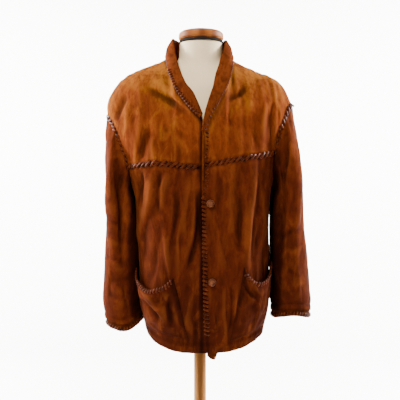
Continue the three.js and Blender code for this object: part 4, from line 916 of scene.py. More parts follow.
# Whether a panel's rows and columns run so that its faces have to be turned to face out.
LOWER_TURNED = {"right": False, "left": True, "back": True}
YOKE_TURNED = {"right": True, "left": False, "back": False}
lower, yoke = {}, {}
for side in ("right", "left", "back"):
    lower[side] = {"points": finer(cut[side]), "turned": LOWER_TURNED[side]}
    yoke[side] = {"points": finer(yoke_cut[side]), "turned": YOKE_TURNED[side]}
    first = SCOOP_COLUMNS * FINE if side == "back" else 0
    count = yoke[side]["points"].shape[1]
    yoke[side]["points"][0] = lower[side]["points"][0, first : first + count]
torso = [*lower.values(), *yoke.values()]
rim_rows = [(0, NECK_ROW["right"]), (NECK_ROW["left"], len(COLLAR) - 1)]
collar_rims = [on_collar("edge", np.linspace(*rows, COLLAR_SHADE["places"])) for rows in rim_rows]
for grid in torso:
    grid["cut"] = cut_of(grid["points"])
share_normals(torso)
for grid in torso:
    points = grid["points"]
    relief = folded_torso(points)
    on_yoke = any(grid is one for one in yoke.values())
    far = far_from(points, "top")
    relief += seam_relief(far)
    reach = GATHERS["above" if on_yoke else "below"]
    relief += gathers(points[..., 0], SEAM_RIPPLES, GATHERS["high"], far, reach)
    for x, z in BUTTON_PLACES:
        off = np.hypot(points[..., 0] - x, points[..., 2] - z) / DIMPLE["wide"]
        relief -= np.where(points[..., 1] < 0, DIMPLE["deep"] * np.exp(-(off**2)), 0)
    if not on_yoke:
        relief += turn_up(BODY_TURN_UP, far_from(points, "bottom"))
    # Painted shade beside the laced seam, under the collar's rim, beside the left front's edge lacing and
    # in the lap on the right front.
    shade = SEAM_SHADE["above" if on_yoke else "below"] * np.exp(-((far / SEAM_SHADE["wide"]) ** 2))
    if on_yoke:
        under = [np.linalg.norm(points[..., None, :] - rim, axis=-1).min(-1) for rim in collar_rims]
        shade += COLLAR_SHADE["deep"] * np.exp(-((under[0] / COLLAR_SHADE["wide"]) ** 2))
        relief *= 1 - np.exp(-((np.minimum(*under) / COLLAR_SHADE["pressed"]) ** 2))
    if grid is lower["left"] or grid is yoke["left"]:
        off = far_from(points, "start") - EDGE_SHADE["above" if on_yoke else "below"]
        shade += EDGE_SHADE["deep"] * np.exp(-((off / EDGE_SHADE["wide"]) ** 2))
    if grid is lower["right"] or grid is yoke["right"]:
        beside = (points[..., 0] - LAP_SHADE["at"]) / LAP_SHADE["wide"]
        shade += LAP_SHADE["deep"] * np.exp(-(beside**2))
    # painted shade in the hollows and painted highlight on the ridges, less the painted shade above
    grid["crease"] = hollows(relief) - shade
    points += grid["normals"] * relief[..., None]
share_normals(torso)

# The yokes' suede is a lighter, more golden copy of the coat's: partly sun fading, partly painted light
# where the shoulders are lit from above.
YOKE_SUEDE_FADED_AND_LIT = {
    "golden": (0.230, 0.0740, 0.0080),
    "middle": (0.150, 0.0290, 0.0042),
    "deep": (0.062, 0.0100, 0.0020),
    "crease": (0.0080, 0.0014, 0.0005),
    "worn": (0.290, 0.0920, 0.0130),
}
coat_suede = suede("coat_suede", SUEDE, (0.74, 1.5))
yoke_suede_faded_and_lit = suede("yoke_suede_faded_and_lit", YOKE_SUEDE_FADED_AND_LIT, (1.16, 1.48))
PANELS = {"right": "front_right", "left": "front_left", "back": "back"}
YOKES = {"right": "front_yoke_right", "left": "front_yoke_left", "back": "back_yoke"}
for side, node in PANELS.items():
    sewn = ("top", "start", "end") if side == "back" else ("top", "end")
    panel(f"suede_{node}", node, lower[side], sewn, coat_suede)
for side, node in YOKES.items():
    sewn = ("top", "bottom", "start", "end") if side == "back" else ("top", "bottom", "end")
    panel(f"suede_{node}", node, yoke[side], sewn, yoke_suede_faded_and_lit)

# ---------------------------------------------------------------------- the sleeves
# Each sleeve is one piece of suede with its seam under the arm, laced into the dropped
# armhole over small gathers, and turned up at the wrist.

CAP_ROWS = 6
SLEEVE_ROWS = 9
SLEEVE = {
    "right": {
        "z": [1090, 1023, 956, 889, 844, 790],
        "outer": [261, 263, 266, 269, 268, 259],
        "inner": [178, 175, 171, 167, 162.5, 159],
        "depth": [90, 85, 80, 74, 68, 62],
        "middle": [2, 0, -4, -8, -10, -12],
    },
    "left": {
        "z": [1090, 1023, 956, 889, 850, 805],
        "outer": [289, 294, 300, 305, 308, 301],
        "inner": [194.5, 194, 194, 194.5, 195, 199],
        "depth": [90, 85, 80, 74, 69, 62],
        "middle": [2, 0, -4, -8, -10, -12],
    },
}
SLEEVE_END = {
    "right": {"outer": 807, "front": 795, "inner": 821, "back": 815},
    "left": {"outer": 827, "front": 837, "inner": 827, "back": 820},
}
CAP_PULL = {"outer": 0.2, "side": 0.75, "ahead": 0.75, "ahead_underarm": 0.4}
BACK_OF_SLEEVE = 0.7
SLEEVE_TURN_UP = {"wide": 12, "ridge": 1.6, "dip_at": 2}
SLEEVE_GATHERS = {"high": 1.5, "reach": 34, "starts": 8}
SLEEVE_RIPPLES = [Ripple(1, 1.9, 2, 13), Ripple(0.7, 3.3)]
SLEEVE_SWELLS = [Swell(0.8, 40, 90, 8), Swell(0.35, 17, 34, 9)]
SLEEVE_SHADE = {"deep": 2.2, "from": 0.3, "over": 0.5}  # painted shade on the sleeve's inner side, beside the body
ARMHOLE_OUT = {"ends": 0.5, "middle": 0.8}  # how far the sleeve's top stands out under the arm
ARMHOLE_SEAM_STARTS = 6  # the seam's own relief grows over this from the armhole
SLEEVE_FOLDS = {
    "right": [
        Fold((-224, -207), (1245, 945), -18, 18, 4),
        Fold((-203, -196), (1215, 1050), 6, 9, 0),
        Fold((-184, -176), (1160, 850), 10, 11, -2),
        Fold((-250, -246), (1250, 1040), 6, 11, -3),
        Fold((-236, -228), (1180, 1000), 3.5, 9, 3),
        Fold((-262, -196), (1082, 1046), -3.5, 11, 0),
        Fold((-264, -190), (1030, 1004), 3, 10, 0),
        Fold((-266, -190), (986, 950), -3, 10, 0),
        Fold((-186, -240), (930, 902), -2.5, 11, 0),
        Fold((-262, -204), (884, 858), -2.5, 10, 0),
        Fold((-214, -218), (900, 812), 3, 12, 3),
        Fold((-240, -246), (960, 840), -3, 11, 3),
    ],
    "left": [
        Fold((234, 216), (1345, 1140), -10, 13, 4),
        Fold((220, 206), (1210, 930), -12, 14, 3),
        Fold((262, 262), (1330, 1060), 7, 14, 4),
        Fold((238, 246), (1130, 930), -6, 14, -4),
        Fold((244, 240), (1340, 1240), 3.5, 8, 0),
        Fold((276, 280), (1240, 1060), -3.5, 10, 3),
        Fold((290, 206), (1060, 1022), -3.5, 11, 0),
        Fold((298, 216), (1010, 986), 3, 10, 0),
        Fold((206, 270), (960, 926), -3, 11, 0),
        Fold((300, 226), (900, 880), -2.5, 10, 0),
        Fold((262, 268), (960, 850), 3.5, 13, -3),
        Fold((230, 232), (930, 850), -3, 10, 0),
    ],
}


def back_scoop(row, side, inset):
    """The back's top edge from the underarm to the yoke's corner, both left out."""
    return row[1:inset] if side == "left" else row[-inset:-1][::-1]


def armhole(side, yokes, lowers, rows, scoop):
    """From the shoulder's end down the front, under the arm and up the back."""
    front = yokes[side][::-1, -1]
    back = yokes["back"][:-1, 0 if side == "left" else -1]
    under = [lowers[side][0, -scoop:], back_scoop(lowers["back"][0], side, scoop)]
    under = np.concatenate(under).copy()
    share = np.sin(math.pi * np.arange(1, len(under) + 1) / (len(under) + 1))
    under[:, 0] += SIDES[side] * (ARMHOLE_OUT["ends"] + ARMHOLE_OUT["middle"] * share)
    return np.concatenate([front, under, back])


def sleeve_ring(side, turn, z):
    table = SLEEVE[side]
    outer, inner = from_table(table, "outer", z), from_table(table, "inner", z)
    x = SIDES[side] * ((outer + inner) / 2 + (outer - inner) / 2 * np.cos(turn))
    y = from_table(table, "middle", z) - from_table(table, "depth", z) * np.sin(turn)
    return np.stack([x, y, z + 0 * turn], -1)


def sleeve_cut(side):
    loop = armhole(side, yoke_cut, cut, YOKE_ROWS, SCOOP_COLUMNS)
    end = SLEEVE_END[side]
    turn = 2 * math.pi * np.arange(len(loop)) / len(loop)
    aside, ahead = np.cos(turn), np.sin(turn)
    first = sleeve_ring(side, turn, SLEEVE[side]["z"][0])
    outwards = (1 + aside) / 2
    pull_aside = CAP_PULL["outer"] * outwards + CAP_PULL["side"] * np.abs(ahead) * (1 - outwards)
    pull_ahead = ahead * mix(CAP_PULL["ahead_underarm"], CAP_PULL["ahead"], outwards)
    down = -np.ones_like(turn)
    start_pull = np.stack([SIDES[side] * pull_aside, -pull_ahead, down], 1)
    cap = spanned(loop, start_pull, first, np.stack([0 * turn, 0 * turn, down], 1), CAP_ROWS)
    across = mix(end["inner"], end["outer"], (aside + 1) / 2)
    along = mix(end["back"], end["front"], (ahead + 1) / 2)
    foot = mix(across, along, ahead**2)
    heights = mix(SLEEVE[side]["z"][0], foot, steps(SLEEVE_ROWS)[1:, None])
    return np.concatenate([cap, sleeve_ring(side, turn + 0 * heights, heights)])


fine_yoke = {side: grid["points"] for side, grid in yoke.items()}
fine_lower = {side: grid["points"] for side, grid in lower.items()}
sleeve = {}
for side, table in SLEEVE.items():
    grid = {"points": finer(sleeve_cut(side), closed=True), "turned": side == "right", "closed": True}
    grid["cut"] = cut_of(np.concatenate([grid["points"], grid["points"][:, :1]], 1))
    share_normals([grid])
    points = grid["points"]
    relief = fold_height(points, SLEEVE_FOLDS[side]) * eased(np.abs(points[..., 1]) / FOLD_FADE["sleeve"])
    relief *= np.where(points[..., 1] > 0, BACK_OF_SLEEVE, 1)
    relief += uneven(points, SLEEVE_SWELLS)
    far = far_from(points, "top")
    column = np.arange(points.shape[1])[None, :]
    ripples = gathers(column, SLEEVE_RIPPLES, SLEEVE_GATHERS["high"], far, SLEEVE_GATHERS["reach"])
    relief += ripples * eased(far / SLEEVE_GATHERS["starts"])
    relief += turn_up(SLEEVE_TURN_UP, far_from(points, "bottom"))
    relief += seam_relief(far) * eased(far / ARMHOLE_SEAM_STARTS)
    points += grid["normals"] * relief[..., None]
    loop = armhole(side, fine_yoke, fine_lower, YOKE_ROWS * FINE, SCOOP_COLUMNS * FINE)
    settle = 1 - eased(np.arange(len(points)) / (2 * FINE))
    points += (loop - points[0]) * settle[:, None, None]
    # Painted shade below the armhole's lacing and on the inner side beside the body, with painted shade
    # and highlight from the hollows.
    shade = SEAM_SHADE["sleeve"] * np.exp(-((far / SEAM_SHADE["wide"]) ** 2))
    height = np.minimum(points[..., 2], table["z"][0])
    outer, inner = from_table(table, "outer", height), from_table(table, "inner", height)
    inwards = 1 - 2 * (np.abs(points[..., 0]) - inner) / (outer - inner)
    shade += SLEEVE_SHADE["deep"] * eased((inwards - SLEEVE_SHADE["from"]) / SLEEVE_SHADE["over"])
    grid["crease"] = hollows(relief, closed=True) - shade
    sleeve[side] = grid
share_normals([*torso, *sleeve.values()])
for side, grid in sleeve.items():
    node = f"sleeve_{side}"
    panel(f"suede_{node}", node, grid, ("top",), coat_suede)

# ----------------------------------------------------------------------- the collar
# A shawl collar with a stand: two layers of suede turned as one, sewn to the neckline,
# rolled over at the neck and laced along its free edge.

COLLAR_TURN = {"radius": 3, "of_rise": 0.35}  # the radius it rolls over at, or a share of its rise
COLLAR_BELLY = 0.1  # how far the fall bellies out, for its length
COLLAR_SHARES = {"stand": 0.55, "fall": 0.5}  # where along them the stand and the fall are shaped
COLLAR_SETTLES = 1.1  # its unevenness dies away a little short of the free edge
COLLAR_SWELLS = [Swell(0.7, 34, 60, 12), Swell(0.3, 15, 22, 13)]
COLLAR_LACE_SHADE = {"deep": 2.2, "wide": 6}
COLLAR_POINTS = 26
neck_fine = NECK_COLUMNS * FINE
back_neck = [(HALF_BACK - BACK_NECK_COLUMNS // 2) * FINE, (HALF_BACK + BACK_NECK_COLUMNS // 2) * FINE]


def neckline(layer):
    """A yokes' layer along the neckline, from the right tip round to the left tip."""
    right = yoke["right"][layer][-1, : neck_fine + 1]
    back = yoke["back"][layer][-1, back_neck[0] : back_neck[1] + 1][::-1]
    return np.concatenate([right, back[1:], yoke["left"][layer][-1, :neck_fine][::-1]])


seam, seam_normals = neckline("points"), neckline("normals")
round_back = mix(NECK_ROW["right"], NECK_ROW["left"], steps(BACK_NECK_COLUMNS * FINE))[1:]
collar_rows = [neck_rows("right", neck_fine), round_back, neck_rows("left", neck_fine)[::-1][1:]]
collar_rows = np.concatenate(collar_rows)
sewn = seam - seam_normals * WALL / 2
roll, edge = on_collar("roll", collar_rows), on_collar("edge", collar_rows)
rise = length_of(roll - sewn)
up = (roll - sewn) / rise
out = edge - roll
out -= (out * up).sum(-1, keepdims=True) * up
out /= length_of(out)
radius = np.minimum(COLLAR_TURN["radius"], rise * COLLAR_TURN["of_rise"])
start, crown = roll - up * radius, roll + out * radius
finish = start + out * 2 * radius
fall = mix(finish, edge, COLLAR_SHARES["fall"]) + out * COLLAR_BELLY * length_of(edge - finish)
stand = mix(sewn, start, COLLAR_SHARES["stand"])
section = np.stack([sewn, stand, start, crown, finish, fall, edge])
middle = through(section, steps(COLLAR_POINTS)).swapaxes(0, 1)
collar = {"points": middle, "turned": False}
share_normals([collar])
collar["cut"] = cut_of(middle)
settle = np.sin(math.pi * np.clip(steps(COLLAR_POINTS) * COLLAR_SETTLES, 0, 1))[None, :]
relief = uneven(middle, COLLAR_SWELLS) * settle
middle = middle + collar["normals"] * relief[..., None]
collar["points"] = middle
share_normals([collar])
outer = middle + collar["normals"] * WALL / 2
inner = middle - collar["normals"] * WALL / 2
outer[:, 0], inner[:, 0] = seam, seam - seam_normals * WALL
outer, inner = drawn_back(outer, ("start",)), drawn_back(inner, ("start",))
# Painted shade along the free edge under its lacing, and painted shade and highlight from the collar's
# swells, turned over for the inner layer.
shade_under_lace = COLLAR_LACE_SHADE["deep"] * np.exp(-((far_from(middle, "end") / COLLAR_LACE_SHADE["wide"]) ** 2))
crease = np.stack([hollows(relief) - shade_under_lace, -hollows(relief)])
collar_piece = piece("suede_collar", np.stack([outer, inner]), wall(outer, inner), coat_suede, crease)
fixed(collar_piece, "collar")

# ------------------------------------------------------------------------ the cuffs
# A narrow band of darker suede inside each sleeve's end. Its upper edge is glued in behind
# the turned-up sleeve, and its lower edge shows below it and is laced.

CUFF = {"above": 14, "below": 20, "inset": 2.3, "rows": 12, "shade": 0.9, "laced_at": 0.82}
CUFF_RIPPLE = Ripple(0.5, 1.7)
DARK_SUEDE = {
    "golden": (0.120, 0.0270, 0.0035),
    "middle": (0.070, 0.0130, 0.0018),
    "deep": (0.030, 0.0050, 0.0008),
    "crease": (0.0060, 0.0011, 0.0003),
    "worn": (0.160, 0.0430, 0.0060),
}
dark_suede = suede("dark_suede", DARK_SUEDE, (0.5, 1.5))
cuff = {}
for side, grid in sleeve.items():
    last, above = grid["points"][-1], grid["points"][-1 - FINE]
    way = (last - above) / length_of(last - above)
    along = mix(-CUFF["above"], CUFF["below"], steps(CUFF["rows"]))[:, None, None]
    points = last + way * along - grid["normals"][-1] * CUFF["inset"]
    wave = CUFF_RIPPLE.high * np.sin(np.arange(points.shape[1]) / CUFF_RIPPLE.long)[None, :]
    wave = wave * eased(along[..., 0] / CUFF["below"])
    band = {"points": points, "turned": grid["turned"], "closed": True}
    share_normals([band])
    points += band["normals"] * wave[..., None]
    # Painted shade over the whole band, which lies under the sleeve's turned-up end, and painted shade
    # and highlight along its ripples.
    band["crease"] = wave - CUFF["shade"]
    band["cut"] = cut_of(np.concatenate([points, points[:, :1]], 1))
    cuff[side] = band
    panel(f"suede_cuff_{side}", f"cuff_{side}", band, (), dark_suede)

# ---------------------------------------------------------------------- the pockets
# Patch pockets of the same suede, sewn down at three edges. Their mouths are laced and sag
# open, and their pouches have filled out with use.

POCKETS = {
    "right": {
        "mouth": (0.377, 0.93), "foot": (0.22, 0.87), "top": (930, 958), "floor": (768, 803),
        "sag": 46, "sag_at": 0.42, "gape": 15, "pouch": 8,
    },
    "left": {
        "mouth": (0.415, 0.91), "foot": (0.28, 0.86), "top": (956, 965), "floor": (762, 808),
        "sag": 46, "sag_at": 0.34, "gape": 12, "pouch": 7,
    },
}
POCKET_LIFT = 0.8
POUCH_FULLNESS = {"down": 0.7, "across": 0.8}
POCKET_FLAT_EDGE = 9  # folds start within this part (a ninth) of the pocket's breadth and length
POCKET_EDGE_SHADE = 1.0
POCKET_SWELLS = [Swell(0.9, 26, 40, 21)]
POCKET_COLUMNS = 72
POCKET_ROWS = 60
POCKET_FOLDS = {
    "right": [
        Fold((-146, -92), (872, 816), -8, 8, 0),
        Fold((-80, -76), (884, 800), -10, 9, 2),
        Fold((-140, -104), (900, 842), 5, 9, 3),
        Fold((-96, -64), (896, 840), 4, 8, 0),
        Fold((-150, -104), (902, 872), 3, 8, 0),
        Fold((-128, -106), (812, 782), -3, 9, 0),
        Fold((-60, -50), (860, 790), 2.5, 8, 0),
    ],
    "left": [
        Fold((118, 150), (930, 884), 3.5, 8, 0),
        Fold((112, 146), (914, 866), -7, 8, 0),
        Fold((146, 132), (872, 790), -5, 9, 0),
        Fold((104, 96), (880, 790), 2.5, 9, 0),
        Fold((164, 160), (900, 830), 2.5, 8, 0),
    ],
}


def sample(layer, column, row):
    """Points or normals of a grid between its rows and columns."""
    r = np.clip(np.floor(row).astype(int), 0, layer.shape[0] - 2)
    c = np.clip(np.floor(column).astype(int), 0, layer.shape[1] - 2)
    f, g = (row - r)[..., None], (column - c)[..., None]
    upper = mix(layer[r, c], layer[r, c + 1], g)
    return mix(upper, mix(layer[r + 1, c], layer[r + 1, c + 1], g), f)


def pocket_places(side):
    """Columns and rows of the lower front under each point of its pocket."""
    sizes, grid = POCKETS[side], finer(cut[side])
    across, down = steps(POCKET_COLUMNS)[None, :], steps(POCKET_ROWS)[:, None]
    skewed = across ** (math.log(0.5) / math.log(sizes["sag_at"]))
    mouth = mix(*sizes["top"], across) - sizes["sag"] * np.sin(math.pi * skewed)
    z = mix(mouth, mix(*sizes["floor"], across), down)
    column = mix(mix(*sizes["mouth"], across), mix(*sizes["foot"], across), down)
    column = column * (grid.shape[1] - 1)
    row = np.zeros_like(z)
    every_row = np.arange(grid.shape[0], dtype=float)
    for r in range(z.shape[0]):
        for c in range(z.shape[1]):
            heights = sample(grid[..., 2:], np.full_like(every_row, column[r, c]), every_row)[:, 0]
            row[r, c] = np.interp(-z[r, c], -heights, every_row)
    return across, down, column, row


pocket = {}
for side, sizes in POCKETS.items():
    across, down, column, row = pocket_places(side)
    points = sample(lower[side]["points"], column, row)
    normals = sample(lower[side]["normals"], column, row)
    normals /= length_of(normals)
    pouch = sizes["pouch"] * np.sin(math.pi * down) ** POUCH_FULLNESS["down"]
    belly = np.sin(math.pi * across) ** POUCH_FULLNESS["across"]
    stand = POCKET_LIFT + WALL + (sizes["gape"] * (1 - down) ** 2 + pouch) * belly
    inside = eased(np.minimum(np.minimum(across, 1 - across), 1 - down) * POCKET_FLAT_EDGE)
    relief = (fold_height(points, POCKET_FOLDS[side]) + uneven(points, POCKET_SWELLS)) * inside
    stand = np.maximum(stand + relief, POCKET_LIFT + WALL)
    grid = {"points": points + normals * stand[..., None], "turned": lower[side]["turned"]}
    # Painted shade along the pocket's sides and foot, twice as dark on the upper half, and painted shade
    # and highlight in its folds.
    grid["crease"] = hollows(relief) - POCKET_EDGE_SHADE * (1 - inside) * (1 + (down < 0.5))
    grid["cut"] = cut_of(grid["points"])
    share_normals([grid])
    pocket[side] = grid
    panel(f"suede_pocket_{side}", f"pocket_{side}", grid, (), coat_suede)

# ------------------------------------------------ the left front's facing, where it shows
# A narrow facing of the darker suede, glued behind the left front's edge. A strip of it
# turns out beside the lacing, and its lower corner hangs down below the hem.

STRIP = {"clear": 0.2, "wide": 6, "top": 1300, "foot": 1180, "lift": 0.5, "bow": 0.5}
STRIP_GRID = (40, 4)
CORNER = {"columns": (0.35, 2.8), "behind": 5.55, "hangs": (9, 17, 18, 2), "rows": (1.6, 0), "curl": 1.5}
CORNER_GRID = (12, 24)
HANGING_ROWS = 8
FACING_SHADE_VALUE = {"strip": 0.1, "corner": -0.1}  # the even value each puts in its painted-shade attribute, a little up for the strip and a little down for the corner
NEAREST = 12  # points of the front that a place on it is fitted to


def on_front(side, x, z):
    """Points and normals of a side's front at places of the front view."""
    points = np.concatenate([grid[side]["points"].reshape(-1, 3) for grid in (lower, yoke)])
    normals = np.concatenate([grid[side]["normals"].reshape(-1, 3) for grid in (lower, yoke)])
    found, facing = [], []
    for place in zip(np.ravel(x), np.ravel(z)):
        off = (points[:, 0] - place[0]) ** 2 + (points[:, 2] - place[1]) ** 2
        near = np.argsort(off)[:NEAREST]
        plane = np.column_stack([np.ones(NEAREST), points[near, 0], points[near, 2]])
        fit = np.linalg.lstsq(plane, points[near, 1], rcond=None)[0]
        found.append((place[0], fit @ (1, *place), place[1]))
        facing.append(normals[near].mean(0))
    facing = np.array(facing)
    shape = (*np.shape(x), 3)
    return np.array(found).reshape(shape), (facing / length_of(facing)).reshape(shape)


def edge_x(z):
    """How far to the left the left front's edge is at a height."""
    edge = np.concatenate([lower["left"]["points"][::-1, 0], yoke["left"]["points"][1:, 0]])
    return np.interp(z, edge[:, 2], edge[:, 0])


def facing(name, node, outer, inner, nap):
    """A piece of the facing between two layers of points, with one even value in its painted-shade
    attribute.
    """
    points = np.stack([outer, inner])
    crease = np.full(points.shape[:3], nap)
    made = piece(name, points, wall(outer, inner, turned=True), dark_suede, crease)
    return fixed(made, node)


down, across = (steps(count) for count in STRIP_GRID)
z = mix(STRIP["top"], STRIP["foot"], down)[:, None] + 0 * across
x = edge_x(z) + mix(STRIP["clear"], STRIP["wide"], across)
points, normals = on_front("left", x, z)
bow = STRIP["bow"] * np.sin(math.pi * across)[None, :, None]
foot = points + normals * STRIP["lift"]
outer, inner = foot + normals * (WALL + bow), foot + normals * bow
facing("facing_edge", "front_facing_strip", outer, inner, FACING_SHADE_VALUE["strip"])

down, across = (steps(count) for count in CORNER_GRID)
columns = mix(*CORNER["columns"], across) * FINE
rows_up = (BODY_ROWS - mix(*CORNER["rows"], down)) * FINE
column, row = np.meshgrid(columns, rows_up)
points = sample(lower["left"]["points"], column, row)
normals = sample(lower["left"]["normals"], column, row)
hang = through(CORNER["hangs"], across)
lower_down = steps(HANGING_ROWS)[1:]
below = points[-1] + np.array([0, 0, -1]) * (lower_down[:, None, None] * hang[:, None])
curl = CORNER["curl"] * np.sin(lower_down * math.pi / 2)
points = np.concatenate([points, below])
normals = np.concatenate([normals, np.repeat(normals[-1:], HANGING_ROWS, 0)])
behind = np.concatenate([np.zeros(len(down)), curl]) + CORNER["behind"]
outer = points - normals * behind[:, None, None]
inner = outer - normals * WALL
corner = facing("facing_corner_suede", "facing_corner", outer, inner, FACING_SHADE_VALUE["corner"])

# ---------------------------------------------------------------------- the buttons
# Two knots plaited from leather thong round a core, dark and polished by wear, each sewn on
# by a short shank of the same thong.

BUTTON = {"radius": 9.4, "high": 5.6, "lift": 0.4, "turned_by": 0.5}
KNOT_CORE = {"radius": 7.6, "flatter": 0.86, "sides": 24, "arc": range(-75, 76, 15)}
THONG = {"pitch": 1.95 * 2.9, "wide": 1.9 * 2.9, "thick": 1.6 * 1.1, "sides": 8, "places": 15}
PLAIT = {"over": 0.55, "ends_at": 100, "shoulders": 11.5, "leans": (1, 1, 2.2)}
BUTTON_LEATHER = {"light": (0.150, 0.050, 0.020), "dark": (0.022, 0.005, 0.002), "rough": 0.36}
LEATHER_LAYERS = [
    Layer("blotches", 0.3, 0.7, 1.0, "light"),
    Layer("grain", 0.5, 0.8, 0.6, "dark"),
]
LEATHER_EVEN = {"Specular IOR Level": 0.12, "Specular Tint": (1.0, 0.42, 0.24, 1.0)}


def leather(name, tones):
    """Smooth dyed leather, darker in its pores, with a soft polish."""
    material, nodes, shader, place = new_material(name)
    blotches = nodes.noise(place, scale=60.0, detail=3.0, roughness=0.6)
    grain = nodes.noise(place, scale=700.0, detail=3.0, roughness=0.7)
    tone = nodes.layered("dark", LEATHER_LAYERS, {"blotches": blotches, "grain": grain}, tones)
    relief = nodes.bump(grain, strength=0.4, distance=0.0003)
    nodes.finish(shader, tone, relief, LEATHER_EVEN | {"Roughness": tones["rough"]})
    return material


button_leather = leather("button_leather", BUTTON_LEATHER)


def strap(points, outs):
    """One flat thong along points, its broad side facing out, as rings of corners."""
    along = np.gradient(points, axis=0)
    along /= length_of(along)
    across = np.cross(outs, along)
    across /= length_of(across)
    turn = 2 * math.pi * np.arange(THONG["sides"]) / THONG["sides"]
    side = np.cos(turn)[None, :, None] * THONG["wide"] / 2 * across[:, None]
    lift = np.sin(turn)[None, :, None] * THONG["thick"] / 2 * outs[:, None]
    rings = points[:, None] + side + lift
    index = np.arange(rings[..., 0].size).reshape(rings.shape[:2])
    index = np.concatenate([index, index[:, :1]], 1)
    low, high = index[:-1], index[1:]
    quads = np.stack([low[:, :-1], low[:, 1:], high[:, 1:], high[:, :-1]], -1).reshape(-1, 4)
    faces = [tuple(map(int, quad[::-1])) for quad in quads]
    faces += [tuple(index[0, :-1].tolist()), tuple(index[-1, :-1][::-1].tolist())]
    return rings.reshape(-1, 3), faces


def knot():
    """A plaited knot about the origin that faces +Z."""
    points, faces = [], []

    def join(more_points, more_faces):
        at = sum(map(len, points))
        points.append(more_points)
        faces.extend(tuple(at + i for i in face) for face in more_faces)

    angle = np.linspace(-1, 1, THONG["places"]) * math.radians(PLAIT["ends_at"])
    for axis in (0, 1):
        for lane in (-1, 0, 1):
            offset = lane * THONG["pitch"]
            along = math.sqrt(BUTTON["radius"] ** 2 - offset**2) * np.sin(angle)
            over = (1 if (lane + axis) % 2 == 0 else -1) * np.cos(along / THONG["pitch"] * math.pi)
            lift = PLAIT["over"] * over * np.clip(np.cos(angle), 0, 1)
            lower = math.sqrt(1 - (offset / PLAIT["shoulders"]) ** 2)  # towards the knot's sides
            high = (BUTTON["high"] + lift) * np.cos(angle) * lower
            line = [along, np.full_like(along, offset)]
            path = np.stack([*(line if axis == 0 else line[::-1]), high], 1)
            outs = path * PLAIT["leans"]
            outs /= length_of(outs)
            join(*strap(path, outs))
    high = BUTTON["high"] * KNOT_CORE["flatter"]
    arc = np.radians(KNOT_CORE["arc"])
    profile = [(KNOT_CORE["radius"] * math.cos(t), high * math.sin(t)) for t in arc]
    core, core_faces = lathe([(0, -high), *profile, (0, high)], sides=KNOT_CORE["sides"])
    join(np.array(core), core_faces)
    return np.concatenate(points), faces


def facing_out(out, turned_by):
    """Where X, Y and Z lie for a button whose Z faces out, and which is turned a little."""
    turn = Vector(out).normalized().to_track_quat("Z", "Y") @ Quaternion((0, 0, 1), turned_by)
    return np.array(turn.to_matrix())


knot_points, knot_faces = knot()
for number, (x, z) in enumerate(BUTTON_PLACES, 1):
    point, normal = on_front("left", np.array([x]), np.array([z]))
    middle = point[0] + normal[0] * (BUTTON["high"] + BUTTON["lift"])
    points = knot_points @ facing_out(normal[0], BUTTON["turned_by"] + number).T + middle
    button = piece(f"knot_button_{number}", points, knot_faces, button_leather)
    fixed(button, f"button_{number}")

# ----------------------------------------------------------------------- the lacing
# Flat leather thong, dark and polished, whipped over each seam and edge through punched
# holes. Each strand slants, dives into its hole and comes up again at the next one.

LACE_LEATHER = {"light": (0.092, 0.0170, 0.0042), "dark": (0.013, 0.0022, 0.0008), "rough": 0.5}

# Stitches: the ends of a strand and the handles that bend it, as along the seam, across it
# and out; then the thong's width and thickness, and how far apart the strands are.
Stitch = namedtuple("Stitch", "start up over end wide thick pitch")
SEAM_STITCH = Stitch((-9.5, -6.5, -1), (-6, -5, 5.6), (6, 5, 5.6), (9.5, 6.5, -1), 6.0, 3.6, 13.5)
SEAM_CROSS = Stitch((-4, 6.5, -1), (-3, 5, 3), (3, -5, 3), (4, -6.5, -1), 5.0, 2.2, 15)
EDGE_STITCH = Stitch((-1.8, -6.3, -2), (-1.6, -6, 3.4), (1.6, 5, 3.8), (1.8, 5.6, -1), 5.4, 2.6, 10.5)
SMALL_STITCH = Stitch((-1.5, -3.4, -1), (-1.5, -3, 3), (1.5, 3, 3), (1.5, 3.4, -1), 4.6, 2.2, 10)
MOUTH_STITCH = Stitch((-2.6, -5.2, -2), (-2.2, -5, 3), (2.2, 4, 3.2), (2.6, 4.4, -1), 4.4, 2.2, 8.5)
FINE_STITCH = Stitch((-2.4, -2.6, -1), (-2, -2.4, 1.6), (2, 2, 1.6), (2.4, 2.4, -1), 2.8, 1.4, 7)
STRAND_UNEVEN = 0.07  # how far strands are turned, in radians, and grown or shrunk
PATH_STEP = 4
SEAM_LIFT = 0.3
EDGE_LIFT = 0.2
LACE_SEEDS = {
    "front_yoke": 10, "armhole": 20, "back_yoke": 30, "front_edge": 40, "collar": 50,
    "pocket": 60, "cuff": 70,
}


